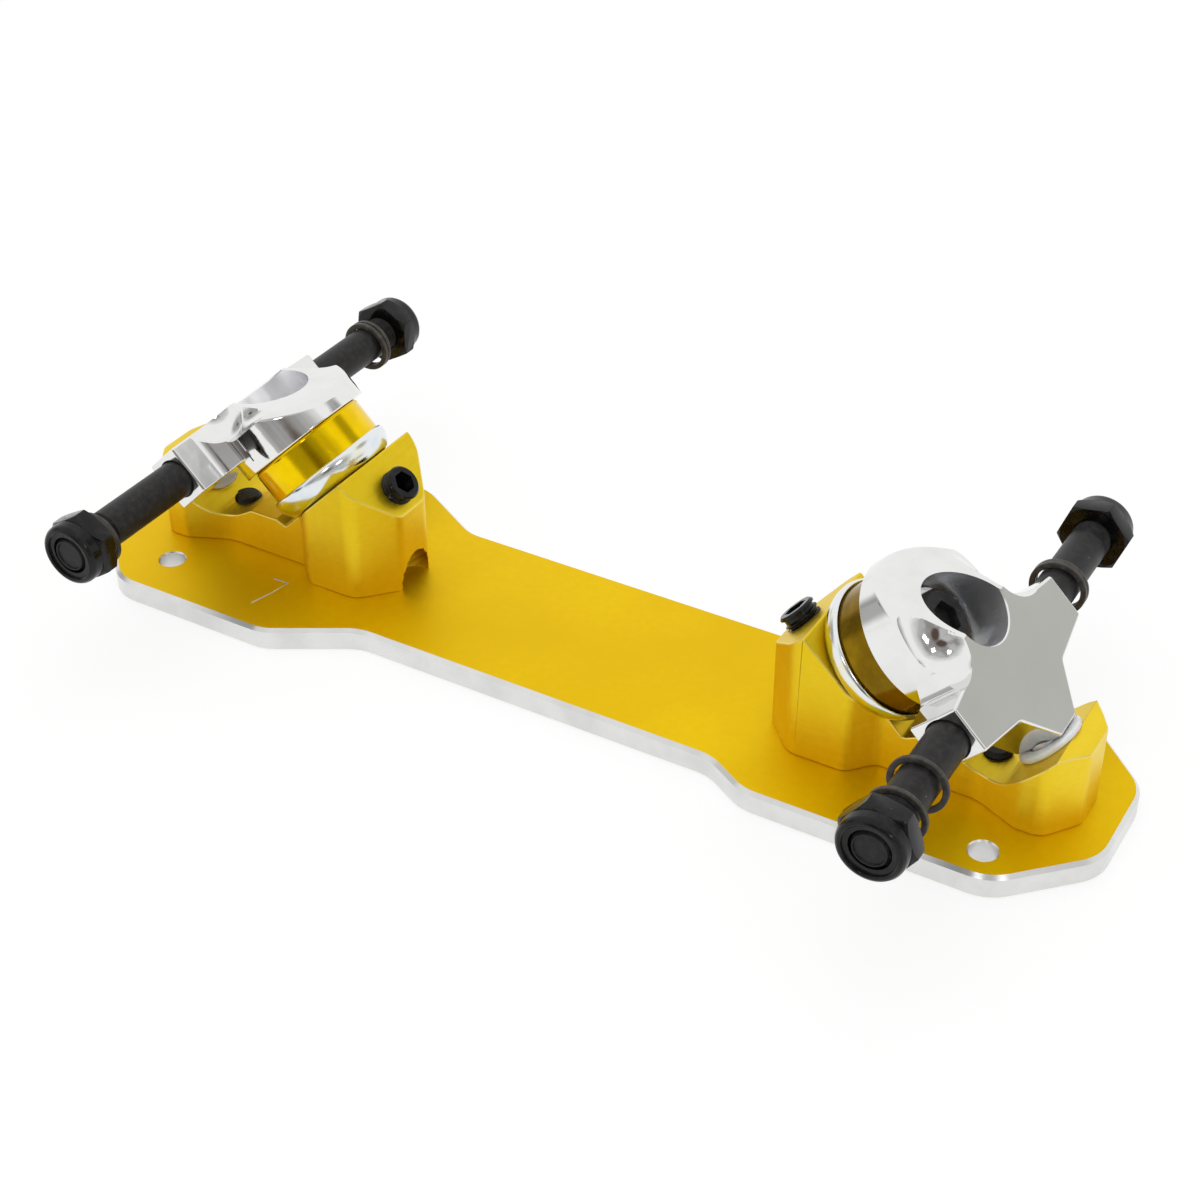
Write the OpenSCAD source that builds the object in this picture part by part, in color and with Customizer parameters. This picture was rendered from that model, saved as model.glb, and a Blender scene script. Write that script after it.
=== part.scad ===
// Roller skate plate: a waisted sole plate that carries two sprung trucks.
// Millimetres. The sole face lies on Z = 0 with the trucks up, and the toe points along +X.

/* [Sole plate] */
// Length from heel to toe
plate_len = 226.6; // [215:0.2:250]
// Thickness
plate_t = 5.2; // [4.5:0.1:8]
// Width across the toe
toe_w = 63; // [56:0.5:76]
// Width across the waist
waist_w = 42.7; // [38:0.1:50]
// Width across the heel
heel_w = 53.8; // [51:0.1:66]
// Length of the straight edge at the toe end
toe_edge = 35.4; // [20:0.2:44]
// Length of the straight edge at the heel end
heel_edge = 22.6; // [12:0.2:32]
// Distance from the middle to where the toe reaches its full width
toe_start = 61; // [54:0.5:70]
// Distance from the middle to where the heel reaches its full width
heel_start = 48; // [42:0.5:56]
// Angle at which the waist flares out
flare_angle = 30; // [25:1:50]
// Radius of the outline's corners
corner_r = 10; // [2:0.5:12]

/* [Boot bolts] */
// Spacing of the boot bolt holes along the plate
bolt_span_x = 187.4; // [180:0.2:194]
// Spacing of the boot bolt holes across the plate
bolt_span_y = 40.2; // [34:0.2:43]
// Diameter of a boot bolt hole
bolt_hole_d = 5.5; // [4.5:0.1:6.5]

/* [Trucks] */
// Distance between the two axles
wheelbase = 171.7; // [160:0.1:180]
// Height of the axles above the plate's face
axle_h = 24.7; // [24:0.1:30]
// Lean of the kingpin from the plate's face
kingpin_lean = 45; // [43:0.5:47]
// Distance from the axle's centre to the kingpin's axis
kingpin_offset = 13.1; // [12.6:0.1:14]

/* [Truck base] */
// Reach of the block from the axle towards the waist
base_inner = 42.6; // [40.5:0.1:46]
// Reach of the block from the axle towards the plate's end
base_outer = 20.65; // [20:0.05:24]
// Width of the kingpin boss
kingpin_boss_w = 25.3; // [23:0.1:30]
// Width of the inner end face
inner_edge = 9.2; // [6:0.2:14]
// Length of the kingpin boss from the inner end
kingpin_boss_len = 22.3; // [20:0.1:24]
// Width of the pivot boss
pivot_boss_w = 23.4; // [19:0.1:27]
// Width of the outer end face
outer_edge = 9; // [5:0.2:12]
// Length of the pivot boss from the outer end
pivot_boss_len = 13.2; // [12:0.1:14]
// Width of the saddle between the bosses
saddle_w = 15.2; // [12:0.1:18]
// Height of the saddle's crest above the plate
crest_h = 9.5; // [8.5:0.1:10.5]
// Length of the saddle's crest
crest_len = 6.7; // [4:0.1:8]
// Slope of the saddle from its crest down to the trough
trough_slope = 31; // [25:1:40]
// Radius of the trough
trough_r = 8; // [3:0.5:8]
// Height of the pivot boss above the plate
pivot_boss_h = 16.9; // [16:0.1:19]
// Distance from the kingpin's axis to the inner slanted face
slant_rise = 12.4; // [11.5:0.1:14]
// Diameter of the thread for the kingpin
kingpin_thread_d = 10; // [9:0.1:11]

/* [Kingpin and cushions] */
// Diameter of the kingpin's shank
kingpin_d = 8; // [6:0.1:8.6]
// Diameter of the kingpin's head
kingpin_head_d = 12; // [10:0.1:13]
// Height of the kingpin's head
kingpin_head_h = 4; // [3:0.1:4.6]
// Length of thread in the block
kingpin_grip = 14.5; // [10:0.5:15]
// Width across flats of the kingpin's key socket
kingpin_key = 6; // [4:0.5:6]
// Diameter of the cushion
cushion_d = 26.4; // [22:0.1:26.8]
// Height of the cushion
cushion_h = 10.7; // [9.5:0.1:11.5]
// Diameter of the cushion washer's rim
rim_d = 28.3; // [28:0.1:30]
// Height of the cushion washer
rim_h = 4.9; // [3:0.1:5.4]
// Metal thickness of the cushion washer's floor
rim_floor = 1.5; // [1:0.1:2]
// Diameter of the top cushion
top_cushion_d = 14; // [13:0.1:14.4]
// Height of the top cushion
top_cushion_h = 2; // [1.5:0.1:2.4]
// Diameter of the top washer
top_washer_d = 14.2; // [13:0.1:14.4]
// Thickness of the top washer
top_washer_t = 0.8; // [0.5:0.1:1.2]

/* [Hanger] */
// Width from arm end to arm end
hanger_w = 47; // [44:0.5:56]
// Width of an arm at its end
arm_w = 9.4; // [9:0.1:11]
// Depth of the arms below the axle's centre
arm_under = 5.5; // [5:0.1:7]
// Height of the flat face above the axle's centre
face_rise = 5.4; // [5:0.1:7]
// Width of the pivot arm at its end
pivot_arm_w = 7.3; // [6:0.1:8]
// Distance from the middle to the throat between an arm and the pivot arm
throat_x = 10.6; // [9:0.1:13]
// Distance from the axle's centre to that throat
throat_y = 7; // [6:0.1:8]
// Diameter of the cushion ring
ring_d = 30.4; // [29:0.1:32]
// Depth of the ring's underside below the axle's centre
ring_under = 9.3; // [8.6:0.1:10]
// Thickness of the ring's floor
ring_floor = 2; // [1.6:0.1:2.6]
// Slope of the ring's top
ring_slope = 32; // [28:1:34]
// Distance from the kingpin's axis to where the slope starts
slope_lead = 2.1; // [1:0.1:4]
// Diameter of the kingpin well
well_d = 16.5; // [16.2:0.1:17]
// Diameter of the hole in the ring's floor
floor_hole_d = 11.5; // [11.4:0.1:12]
// Radius of the scoop on each flank of the ring
scoop_r = 8; // [6.5:0.1:8.3]
// Distance from the kingpin's axis to the scoop's path
scoop_out = 16.9; // [16.6:0.1:18.5]
// Height of the scoop's path above the axle's centre
scoop_rise = 6.5; // [6:0.1:8]
// Sweep of the scoop round the ring
scoop_sweep = 38; // [20:1:50]

/* [Pivot] */
// Diameter of the pivot stub
pivot_d = 8; // [7:0.1:8.4]
// Distance from the axle's centre to the pivot boss's face
pivot_face = 16.9; // [16.6:0.1:17.4]
// Depth of the pivot cup's seat in the boss
cup_depth = 5; // [4:0.1:5.2]
// Outside diameter of the pivot cup
cup_d = 11; // [10:0.1:11.4]
// Thickness of the pivot cup's bottom
cup_bottom = 0.8; // [0.5:0.1:1.2]
// Diameter of the pivot cup's flange
flange_d = 15; // [13:0.1:16]
// Thickness of the pivot cup's flange
flange_t = 1.3; // [1:0.1:1.4]

/* [Axles] */
// Diameter of an axle
axle_d = 8; // [6.5:0.1:8]
// Length of an axle
axle_len = 113; // [104:0.5:124]
// Length of thread at each end of an axle
axle_thread = 10.5; // [9:0.5:16]
// Height of an axle nut
nut_h = 7; // [6:0.1:9]
// Width across flats of an axle nut
nut_af = 13; // [12:0.1:14]
// Distance that a nut's collar stands past the axle's end
nut_past = 0.5; // [0:0.1:1]
// Diameter of an axle washer
axle_washer_d = 11.4; // [10.4:0.1:14]
// Thickness of an axle washer
axle_washer_t = 0.9; // [0.6:0.1:1.2]
// Turn of the front axle nuts from corner level
front_nut_turn = 30; // [0:5:55]
// Turn of the rear axle nuts from corner level
rear_nut_turn = 50; // [0:5:55]

/* [Screws] */
// Diameter of a base screw
base_screw_d = 6; // [5:0.1:6]
// Diameter of a base screw's countersunk head
base_head_d = 11.4; // [9:0.1:12]
// Distance from the axle to the saddle screw, towards the plate's end
saddle_screw_x = 1.9; // [1:0.1:3]
// Length of the saddle screw
saddle_screw_len = 13; // [12.4:0.1:14]
// Distance from the axle to the boss screw, towards the waist
boss_screw_x = 23.5; // [23:0.1:24.5]
// Length of the boss screw
boss_screw_len = 12; // [10:0.1:12.4]
// Diameter of a kingpin lock screw
lock_d = 7.6; // [6:0.1:8]
// Distance from the kingpin face to the lock screw
lock_drop = 7.9; // [6.5:0.1:8.4]
// Height of the lock screw above the inner slanted face
lock_proud = 3; // [0.5:0.1:3.4]

/* [Clearances] */
// Radial clearance of the pivot stub in its cup
pivot_fit = 0.06; // [0.03:0.01:0.1]
// Radial clearance of a part that is fixed in its hole
seat_fit = 0.02; // [0.01:0.01:0.05]
// Radial clearance of a loose axle washer
washer_fit = 0.2; // [0.1:0.05:0.4]
// Radial clearance round a bolt's shank
bolt_fit = 0.25; // [0.1:0.05:0.4]
// Gap between stacked axle washers and beside the nut
stack_gap = 0.2; // [0.1:0.05:0.5]
// Gap between the pivot arm's end and the cup's flange
pivot_gap = 0.4; // [0.3:0.05:0.6]

/* [Hidden] */
$fn = 64;

// Colours of the finishes
gold_face = [0.80, 0.62, 0.10];
gold_block = [0.78, 0.64, 0.16];
polished = [0.85, 0.85, 0.84];
black_steel = [0.13, 0.12, 0.13];
zinc = [0.80, 0.82, 0.80];
urethane = [0.80, 0.60, 0.05];
nylon = [0.93, 0.93, 0.91];

// Overshoot of a cut past the face that it opens
cut = 1;
// Length of a cut that runs right through a truck
through = 80;
// Flats of a hexagon
hex = 6;

// Levels along the kingpin, counted from the axle's centre
ring_low = -ring_under;
washer_top = ring_low - cushion_h;
kingpin_face = washer_top - rim_floor;
well_floor = ring_low + ring_floor;
top_washer_low = well_floor + top_cushion_h;
head_low = top_washer_low + top_washer_t;

// Distances along the hanger's plane, counted from the axle's centre
slant_face = kingpin_offset + slant_rise;
pivot_shoulder = pivot_face - flange_t - pivot_gap;
pivot_tip = pivot_face + cup_depth - cup_bottom - pivot_gap;

// Distances along the axle, and the thread's outside diameter
nut_face = axle_len / 2 + nut_past - nut_h;
thread_relief = 0.1;
thread_d = axle_d - 2 * thread_relief;

// Distance from the nut to each loose washer's middle, inner one first
snug = stack_gap + axle_washer_t / 2;
pitch = stack_gap + axle_washer_t;
front_right_drift = 4.9;
rear_right_drift = 17.9;
front_left_rest = [snug + pitch, snug];
front_right_rest = [front_right_drift + pitch, front_right_drift];
rear_left_rest = [13.6, 4.6];
rear_right_rest = [rear_right_drift + pitch, rear_right_drift];

// Bevels on turned ends, and the rounding of a cushion's rim
fine_bevel = 0.5;
bevel = 0.6;
stub_bevel = 1.2;

// Upright corners of the truck base: at its end faces, its flanks, its neck and its saddle
end_r = 1.5;
boss_flank_r = 5;
neck_r = 3;
sweep_r = 10;
pivot_flank_r = 4;
// Length over which the kingpin boss narrows, and over which the pivot boss widens
neck_len = 3;
widen_len = 6;
// Share of its width that the kingpin boss's inner corner takes along its length
inner_corner_share = 0.9;

// Level corners of the truck base: its ridges, its notch and its crest
ridge_r = 0.4;
notch_r = 0.8;
crest_r = 0.6;
// Drop from the crest to the notch under the cushion washer, and the run between them
notch_drop = 1.1;
notch_run = 2.5;
// Fall of the pivot boss's outer top strip
strip_fall = 0.7;

// Corners of the hanger's outline: its arms' ends, the pivot arm's end, the throats and the webs
arm_end_r = 0.5;
pivot_end_r = 0.8;
throat_r = 2;
web_r = 3;
// Distance that a web starts outside the ring, and that it rises from the arm's edge
web_out = 1.8;
web_rise = 1;
// Where a web runs into the ring: inside the ring's edge, and short of the kingpin's axis
web_sink = 1.2;
web_short = 3;
// Length of the pivot stub inside the pivot arm
stub_root = 4;
// Undersize of the ball at each end of a scoop's path
ball_undersize = 0.05;

// Dished washer's section: step of the foot, lean of the wall and rounding of the rim
foot_step = 0.4;
wall_lean = 1.2;
rim_round = 0.3;
rim_band = 0.5;

// Axle nut's section: hexagon's share of the height, collar's rounding and recess round the axle's end
hex_share = 0.57;
collar_round = [0.8, 1];
recess_out = 0.7;

// A point of the truck's side view at a distance along the kingpin and along the hanger's plane
function side_view(along, across) =
    [along * cos(kingpin_lean) - across * sin(kingpin_lean),
     along * sin(kingpin_lean) + across * cos(kingpin_lean)];

// The point of the kingpin's face, or of the pivot boss's face, at a height above the plate
function on_kingpin_face(height) =
    side_view(kingpin_face,
              (height - axle_h - kingpin_face * sin(kingpin_lean)) / cos(kingpin_lean));
function on_pivot_face(height) =
    side_view((height - axle_h + pivot_face * cos(kingpin_lean)) / sin(kingpin_lean), -pivot_face);

// An outline whose corners, given as [x, y, radius], are turned into arcs
function unit(v) = v / norm(v);
function corner_arc(before, corner, after, r, steps = 8) =
    let (
        a = unit([before.x - corner.x, before.y - corner.y]),
        b = unit([after.x - corner.x, after.y - corner.y]),
        half = acos(max(-1, min(1, a * b))) / 2,
        reach = r / tan(half),
        middle = [corner.x, corner.y] + unit(a + b) * r / sin(half),
        from = [corner.x, corner.y] + a * reach - middle,
        to = [corner.x, corner.y] + b * reach - middle,
        start = atan2(from.y, from.x),
        turn = atan2(from.x * to.y - from.y * to.x, from * to)
    )
    [for (i = [0:steps]) middle + r * [cos(start + turn * i / steps), sin(start + turn * i / steps)]];
function rounded(corners) =
    let (n = len(corners))
    [for (i = [0:n - 1])
        let (c = corners[i])
        each c[2] > 0
            ? corner_arc(corners[(i + n - 1) % n], c, corners[(i + 1) % n], c[2])
            : [[c.x, c.y]]];

// A closed outline from its corners on one side of the X axis, or of the Y axis
function reversed(list) = [for (i = [len(list) - 1:-1:0]) list[i]];
function both_sides_of_x(half) =
    concat(half, reversed([for (c = half) [c.x, -c.y, c[2]]]));
function both_sides_of_y(half) =
    concat(half, reversed([for (c = half) [-c.x, c.y, c[2]]]));

// Corners of the sole plate along one edge, heel first
function plate_corners() =
    let (
        toe_corner = (toe_w - toe_edge) / 2,
        heel_corner = (heel_w - heel_edge) / 2,
        toe_flare = (toe_w - waist_w) / 2 / tan(flare_angle),
        heel_flare = (heel_w - waist_w) / 2 / tan(flare_angle)
    )
    [[-plate_len / 2, heel_edge / 2, corner_r],
     [-plate_len / 2 + heel_corner, heel_w / 2, corner_r],
     [-heel_start, heel_w / 2, corner_r],
     [-heel_start + heel_flare, waist_w / 2, corner_r],
     [toe_start - toe_flare, waist_w / 2, corner_r],
     [toe_start, toe_w / 2, corner_r],
     [plate_len / 2 - toe_corner, toe_w / 2, corner_r],
     [plate_len / 2, toe_edge / 2, corner_r]];

// Corners of the truck base's footprint along one edge, inner end first
function footprint_corners() =
    let (
        inner_cut = (kingpin_boss_w - inner_edge) / 2,
        outer_cut = (pivot_boss_w - outer_edge) / 2,
        boss_end = -base_inner + kingpin_boss_len,
        pivot_start = base_outer - pivot_boss_len
    )
    [[-base_inner, inner_edge / 2, end_r],
     [-base_inner + inner_cut * inner_corner_share, kingpin_boss_w / 2, boss_flank_r],
     [boss_end - neck_len, kingpin_boss_w / 2, neck_r],
     [boss_end + neck_len / 2, saddle_w / 2, neck_r],
     [pivot_start - widen_len, saddle_w / 2, sweep_r],
     [pivot_start + widen_len / 2, pivot_boss_w / 2, pivot_flank_r],
     [base_outer - outer_cut + widen_len / 3, pivot_boss_w / 2, pivot_flank_r],
     [base_outer, outer_edge / 2, end_r]];

// Corners of the truck base's side view, on the plate at its inner end first
function profile_corners() =
    let (
        ridge = side_view(kingpin_face, slant_face),
        slant_end = ridge - (base_inner + ridge.x) * [1, tan(kingpin_lean)],
        notch = on_kingpin_face(crest_h - notch_drop),
        crest_end = [notch.x + notch_run, crest_h - axle_h],
        crest_start = crest_end + [crest_len, 0],
        fall = tan(trough_slope),
        level = on_pivot_face(0),
        dip = (crest_start.y + axle_h + fall * crest_start.x + level.x * tan(kingpin_lean))
            / (fall + tan(kingpin_lean)),
        pivot_ridge = on_pivot_face(pivot_boss_h)
    )
    [[-base_inner, -axle_h, 0],
     [slant_end.x, slant_end.y, ridge_r],
     [ridge.x, ridge.y, ridge_r],
     [notch.x, notch.y, notch_r],
     [crest_end.x, crest_end.y, crest_r],
     [crest_start.x, crest_start.y, crest_r],
     [dip, (dip - level.x) * tan(kingpin_lean) - axle_h, trough_r],
     [pivot_ridge.x, pivot_ridge.y, ridge_r],
     [(pivot_ridge.x + base_outer) / 2, pivot_ridge.y, 0],
     [base_outer, pivot_ridge.y - strip_fall, 0],
     [base_outer, -axle_h, 0]];

// Corners of the hanger's arms in its own plane, on one side, pivot arm first
function star_corners() =
    let (
        arm_end = hanger_w / 2,
        web = ring_d / 2 + web_out,
        arm_root = arm_w / 2 + web_rise
    )
    [[pivot_arm_w / 2, -pivot_shoulder, pivot_end_r],
     [throat_x, -throat_y, throat_r],
     [arm_end, -arm_w / 2, arm_end_r],
     [arm_end, arm_w / 2, arm_end_r],
     [web, arm_root, web_r],
     [ring_d / 2 - web_sink, kingpin_offset - web_short, 0]];

// Places what follows at a truck, with +X towards the plate's end and the axle's centre at zero
module at_truck(side) {
    translate([side * wheelbase / 2, 0, plate_t + axle_h])
        rotate([0, 0, side > 0 ? 0 : 180])
            children();
}

// Turns what follows so that +Z runs up the kingpin and +Y along the hanger's plane
module tilted() {
    rotate([0, 90 - kingpin_lean, 0])
        rotate([0, 0, 90])
            children();
}

// Places what follows on the kingpin's axis at a level
module on_kingpin(level) {
    tilted() translate([0, kingpin_offset, level]) children();
}

// Turns what follows so that +Z runs along the axle, to the left or to the right
module along_axle(side) {
    rotate([-side * 90, 0, 0]) children();
}

// A ring with flat ends
module ring(outer_d, inner_d, height) {
    difference() {
        cylinder(d = outer_d, h = height);
        translate([0, 0, -cut]) cylinder(d = inner_d, h = height + 2 * cut);
    }
}

// A six-sided prism by its width across flats
module hex_prism(across_flats, height) {
    cylinder(d = across_flats / cos(30), h = height, $fn = hex);
}

// The hole that a base screw leaves in the plate, from the sole face up
module screw_hole() {
    head_h = (base_head_d - base_screw_d) / 2;
    translate([0, 0, -cut]) cylinder(d = base_screw_d + 2 * bolt_fit, h = plate_t + 2 * cut);
    cylinder(d1 = base_head_d + 2 * bolt_fit, d2 = base_screw_d + 2 * bolt_fit, h = head_h);
}

module sole_plate() {
    color(gold_face)
        difference() {
            linear_extrude(plate_t) polygon(rounded(both_sides_of_x(plate_corners())));
            for (x = [-1, 1], y = [-1, 1])
                translate([x * bolt_span_x / 2, y * bolt_span_y / 2, -cut])
                    cylinder(d = bolt_hole_d, h = plate_t + 2 * cut);
            for (side = [-1, 1], x = [saddle_screw_x, -boss_screw_x])
                translate([side * (wheelbase / 2 + x), 0, 0]) screw_hole();
        }
}

module truck_base() {
    color(gold_block)
        difference() {
            intersection() {
                translate([0, 0, -axle_h])
                    linear_extrude(3 * axle_h) polygon(rounded(both_sides_of_x(footprint_corners())));
                rotate([90, 0, 0])
                    translate([0, 0, -kingpin_boss_w])
                        linear_extrude(2 * kingpin_boss_w) polygon(rounded(profile_corners()));
            }
            on_kingpin(kingpin_face + cut - through) cylinder(d = kingpin_thread_d, h = through);
            tilted()
                translate([0, -pivot_face + cut, 0])
                    rotate([90, 0, 0])
                        cylinder(d = cup_d + 2 * seat_fit, h = cup_depth + cut);
            tilted()
                translate([0, flange_t + cut - pivot_face, 0])
                    rotate([90, 0, 0])
                        cylinder(d = flange_d + 2 * bolt_fit, h = flange_t + cut);
            tilted()
                translate([0, kingpin_offset, kingpin_face - lock_drop])
                    rotate([-90, 0, 0])
                        cylinder(d = lock_d + 2 * seat_fit, h = through / 2);
            for (screw = [[saddle_screw_x, saddle_screw_len], [-boss_screw_x, boss_screw_len]])
                translate([screw.x, 0, -axle_h - cut])
                    cylinder(d = base_screw_d + 2 * seat_fit, h = screw.y - plate_t + stack_gap + cut);
        }
}

// One countersunk screw, head down, with a key socket in its head
module base_screw(length) {
    head_h = (base_head_d - base_screw_d) / 2;
    key = base_screw_d * 2 / 3;
    difference() {
        rotate_extrude()
            polygon([[0, 0], [base_head_d / 2, 0], [base_screw_d / 2, head_h],
                     [base_screw_d / 2, length - bevel], [base_screw_d / 2 - bevel, length],
                     [0, length]]);
        translate([0, 0, -cut]) hex_prism(key, head_h + cut);
    }
}

module base_screws() {
    color(black_steel)
        translate([0, 0, -axle_h - plate_t]) {
            translate([saddle_screw_x, 0, 0]) base_screw(saddle_screw_len);
            translate([-boss_screw_x, 0, 0]) base_screw(boss_screw_len);
        }
}

module pivot_cup() {
    color(nylon)
        tilted()
            translate([0, -pivot_face, 0])
                rotate([90, 0, 0])
                    difference() {
                        union() {
                            cylinder(d = cup_d, h = cup_depth);
                            translate([0, 0, -flange_t]) cylinder(d = flange_d, h = flange_t);
                        }
                        translate([0, 0, -flange_t - cut])
                            cylinder(d = pivot_d + 2 * pivot_fit,
                                     h = flange_t + cut + cup_depth - cup_bottom);
                    }
}

module kingpin() {
    thread_r = kingpin_thread_d / 2 - seat_fit;
    shank_r = kingpin_d / 2;
    head_r = kingpin_head_d / 2;
    end = kingpin_face - kingpin_grip;
    color(black_steel)
        on_kingpin(0)
            difference() {
                rotate_extrude()
                    polygon([[0, end], [thread_r - bevel, end], [thread_r, end + bevel],
                             [thread_r, kingpin_face - bevel], [shank_r, kingpin_face - bevel],
                             [shank_r, head_low], [head_r, head_low],
                             [head_r, head_low + kingpin_head_h - bevel],
                             [head_r - bevel, head_low + kingpin_head_h],
                             [0, head_low + kingpin_head_h]]);
                translate([0, 0, head_low + cut]) hex_prism(kingpin_key, kingpin_head_h);
            }
}

module kingpin_lock_screw() {
    inner = kingpin_offset + kingpin_thread_d / 2;
    length = slant_face + lock_proud - inner;
    socket = length / 3;
    color(black_steel)
        tilted()
            translate([0, inner, kingpin_face - lock_drop])
                rotate([-90, 0, 0])
                    difference() {
                        rotate_extrude()
                            polygon([[0, 0], [lock_d / 2, 0], [lock_d / 2, length - fine_bevel],
                                     [lock_d / 2 - fine_bevel, length], [0, length]]);
                        translate([0, 0, length - socket]) hex_prism(lock_d / 2, socket + cut);
                    }
}

// A dished washer: a flat floor with a wall that leans out to the rim
module cushion_washer() {
    hole_r = kingpin_d / 2 + bolt_fit;
    inner_r = cushion_d / 2 + seat_fit;
    foot_r = inner_r - foot_step;
    rim_r = rim_d / 2;
    color(zinc)
        on_kingpin(kingpin_face)
            rotate_extrude()
                polygon([[hole_r, 0], [foot_r - wall_lean / 2, 0], [foot_r + wall_lean / 4, foot_step],
                         [rim_r - rim_round, rim_h - 2 * rim_band], [rim_r, rim_h - rim_band],
                         [rim_r - rim_round, rim_h], [inner_r, rim_h], [inner_r, rim_floor],
                         [hole_r, rim_floor]]);
}

module cushion() {
    hole_r = kingpin_d / 2 + bolt_fit;
    r = cushion_d / 2;
    color(urethane)
        on_kingpin(washer_top)
            rotate_extrude()
                polygon([[hole_r, 0], [r - fine_bevel, 0], [r, fine_bevel],
                         [r, cushion_h - fine_bevel], [r - fine_bevel, cushion_h],
                         [hole_r, cushion_h]]);
}

module top_cushion() {
    color(urethane)
        on_kingpin(well_floor) ring(top_cushion_d, kingpin_d + 2 * bolt_fit, top_cushion_h);
}

module top_washer() {
    color(zinc)
        on_kingpin(top_washer_low) ring(top_washer_d, kingpin_d + 2 * bolt_fit, top_washer_t);
}

// The scoop on the left flank of the ring, from the path of a ball-ended cutter
module scoop() {
    ball_r = scoop_r - ball_undersize;
    translate([0, kingpin_offset, scoop_rise]) {
        rotate_extrude(angle = scoop_sweep) translate([scoop_out, 0]) circle(r = scoop_r);
        for (turn = [0, scoop_sweep])
            rotate([0, 0, turn]) translate([scoop_out, 0, 0]) sphere(r = ball_r);
    }
}

// The stub that turns in the pivot cup
module pivot_stub() {
    root = pivot_shoulder - stub_root;
    length = pivot_tip - root;
    r = pivot_d / 2;
    translate([0, -root, 0])
        rotate([90, 0, 0])
            rotate_extrude()
                polygon([[0, 0], [r, 0], [r, length - stub_bevel], [r - stub_bevel, length],
                         [0, length]]);
}

module hanger() {
    color(polished)
        tilted()
            difference() {
                union() {
                    translate([0, 0, -arm_under])
                        linear_extrude(arm_under + face_rise)
                            polygon(rounded(both_sides_of_y(star_corners())));
                    translate([0, kingpin_offset, ring_low])
                        cylinder(d = ring_d, h = ring_under + face_rise);
                    pivot_stub();
                }
                rotate([0, 90, 0])
                    cylinder(d = axle_d + 2 * seat_fit, h = 2 * hanger_w, center = true);
                translate([0, kingpin_offset, well_floor]) cylinder(d = well_d, h = through);
                translate([0, kingpin_offset, ring_low - cut])
                    cylinder(d = floor_hole_d, h = ring_floor + 2 * cut);
                translate([0, kingpin_offset - slope_lead, face_rise])
                    rotate([-ring_slope, 0, 0])
                        translate([-through / 2, 0, 0])
                            cube(through);
                scoop();
                mirror([1, 0, 0]) scoop();
            }
}

module axle() {
    r = axle_d / 2;
    thread_r = thread_d / 2;
    half = axle_len / 2;
    plain = half - axle_thread;
    color(black_steel)
        along_axle(1)
            rotate_extrude()
                polygon([[0, -half], [thread_r - bevel, -half], [thread_r, -half + bevel],
                         [thread_r, -plain], [r, -plain], [r, plain], [thread_r, plain],
                         [thread_r, half - bevel], [thread_r - bevel, half], [0, half]]);
}

// A locknut: a hexagon with turned corners, and a domed collar at its outer end
module axle_nut(side, turn) {
    hex_h = nut_h * hex_share;
    point_r = nut_af / cos(30) / 2;
    collar_r = nut_af / 2 - seat_fit;
    lip_r = thread_d / 2 + recess_out;
    shoulder = nut_h - collar_round.y;
    color(black_steel)
        along_axle(side)
            translate([0, 0, nut_face])
                difference() {
                    union() {
                        intersection() {
                            rotate([0, 0, turn]) hex_prism(nut_af, hex_h);
                            rotate_extrude()
                                polygon([[0, 0], [point_r - 2 * fine_bevel, 0], [point_r, fine_bevel],
                                         [point_r, hex_h - fine_bevel],
                                         [point_r - 2 * fine_bevel, hex_h], [0, hex_h]]);
                        }
                        rotate_extrude()
                            polygon([[0, hex_h / 2], [collar_r, hex_h / 2], [collar_r, shoulder],
                                     [collar_r - collar_round.x / 3, nut_h - collar_round.y / 3],
                                     [collar_r - collar_round.x, nut_h], [0, nut_h]]);
                    }
                    translate([0, 0, -cut])
                        cylinder(d = thread_d + 2 * seat_fit, h = nut_h + 2 * cut);
                    translate([0, 0, nut_h - nut_past]) cylinder(r = lip_r, h = nut_past + cut);
                }
}

// A loose washer, at a distance from its nut
module axle_washer(side, from_nut) {
    color(black_steel)
        along_axle(side)
            translate([0, 0, nut_face - from_nut - axle_washer_t / 2])
                ring(axle_washer_d, axle_d + 2 * washer_fit, axle_washer_t);
}

front = 1;
rear = -1;
left = 1;
right = -1;

sole_plate();

at_truck(front) truck_base();  // front_truck_base
at_truck(front) base_screws();  // front_base_screws
at_truck(front) pivot_cup();  // front_pivot_cup
at_truck(front) kingpin();  // front_kingpin
at_truck(front) kingpin_lock_screw();  // front_kingpin_lock_screw
at_truck(front) cushion_washer();  // front_cushion_washer
at_truck(front) cushion();  // front_cushion
at_truck(front) top_cushion();  // front_top_cushion
at_truck(front) top_washer();  // front_top_washer
at_truck(front) hanger();  // front_hanger
at_truck(front) axle();  // front_axle
at_truck(front) axle_nut(left, front_nut_turn);  // front_axle_nut_left
at_truck(front) axle_nut(right, front_nut_turn);  // front_axle_nut_right
at_truck(front) axle_washer(left, front_left_rest[0]);  // front_washer_left_inner
at_truck(front) axle_washer(left, front_left_rest[1]);  // front_washer_left_outer
at_truck(front) axle_washer(right, front_right_rest[0]);  // front_washer_right_inner
at_truck(front) axle_washer(right, front_right_rest[1]);  // front_washer_right_outer

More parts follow.
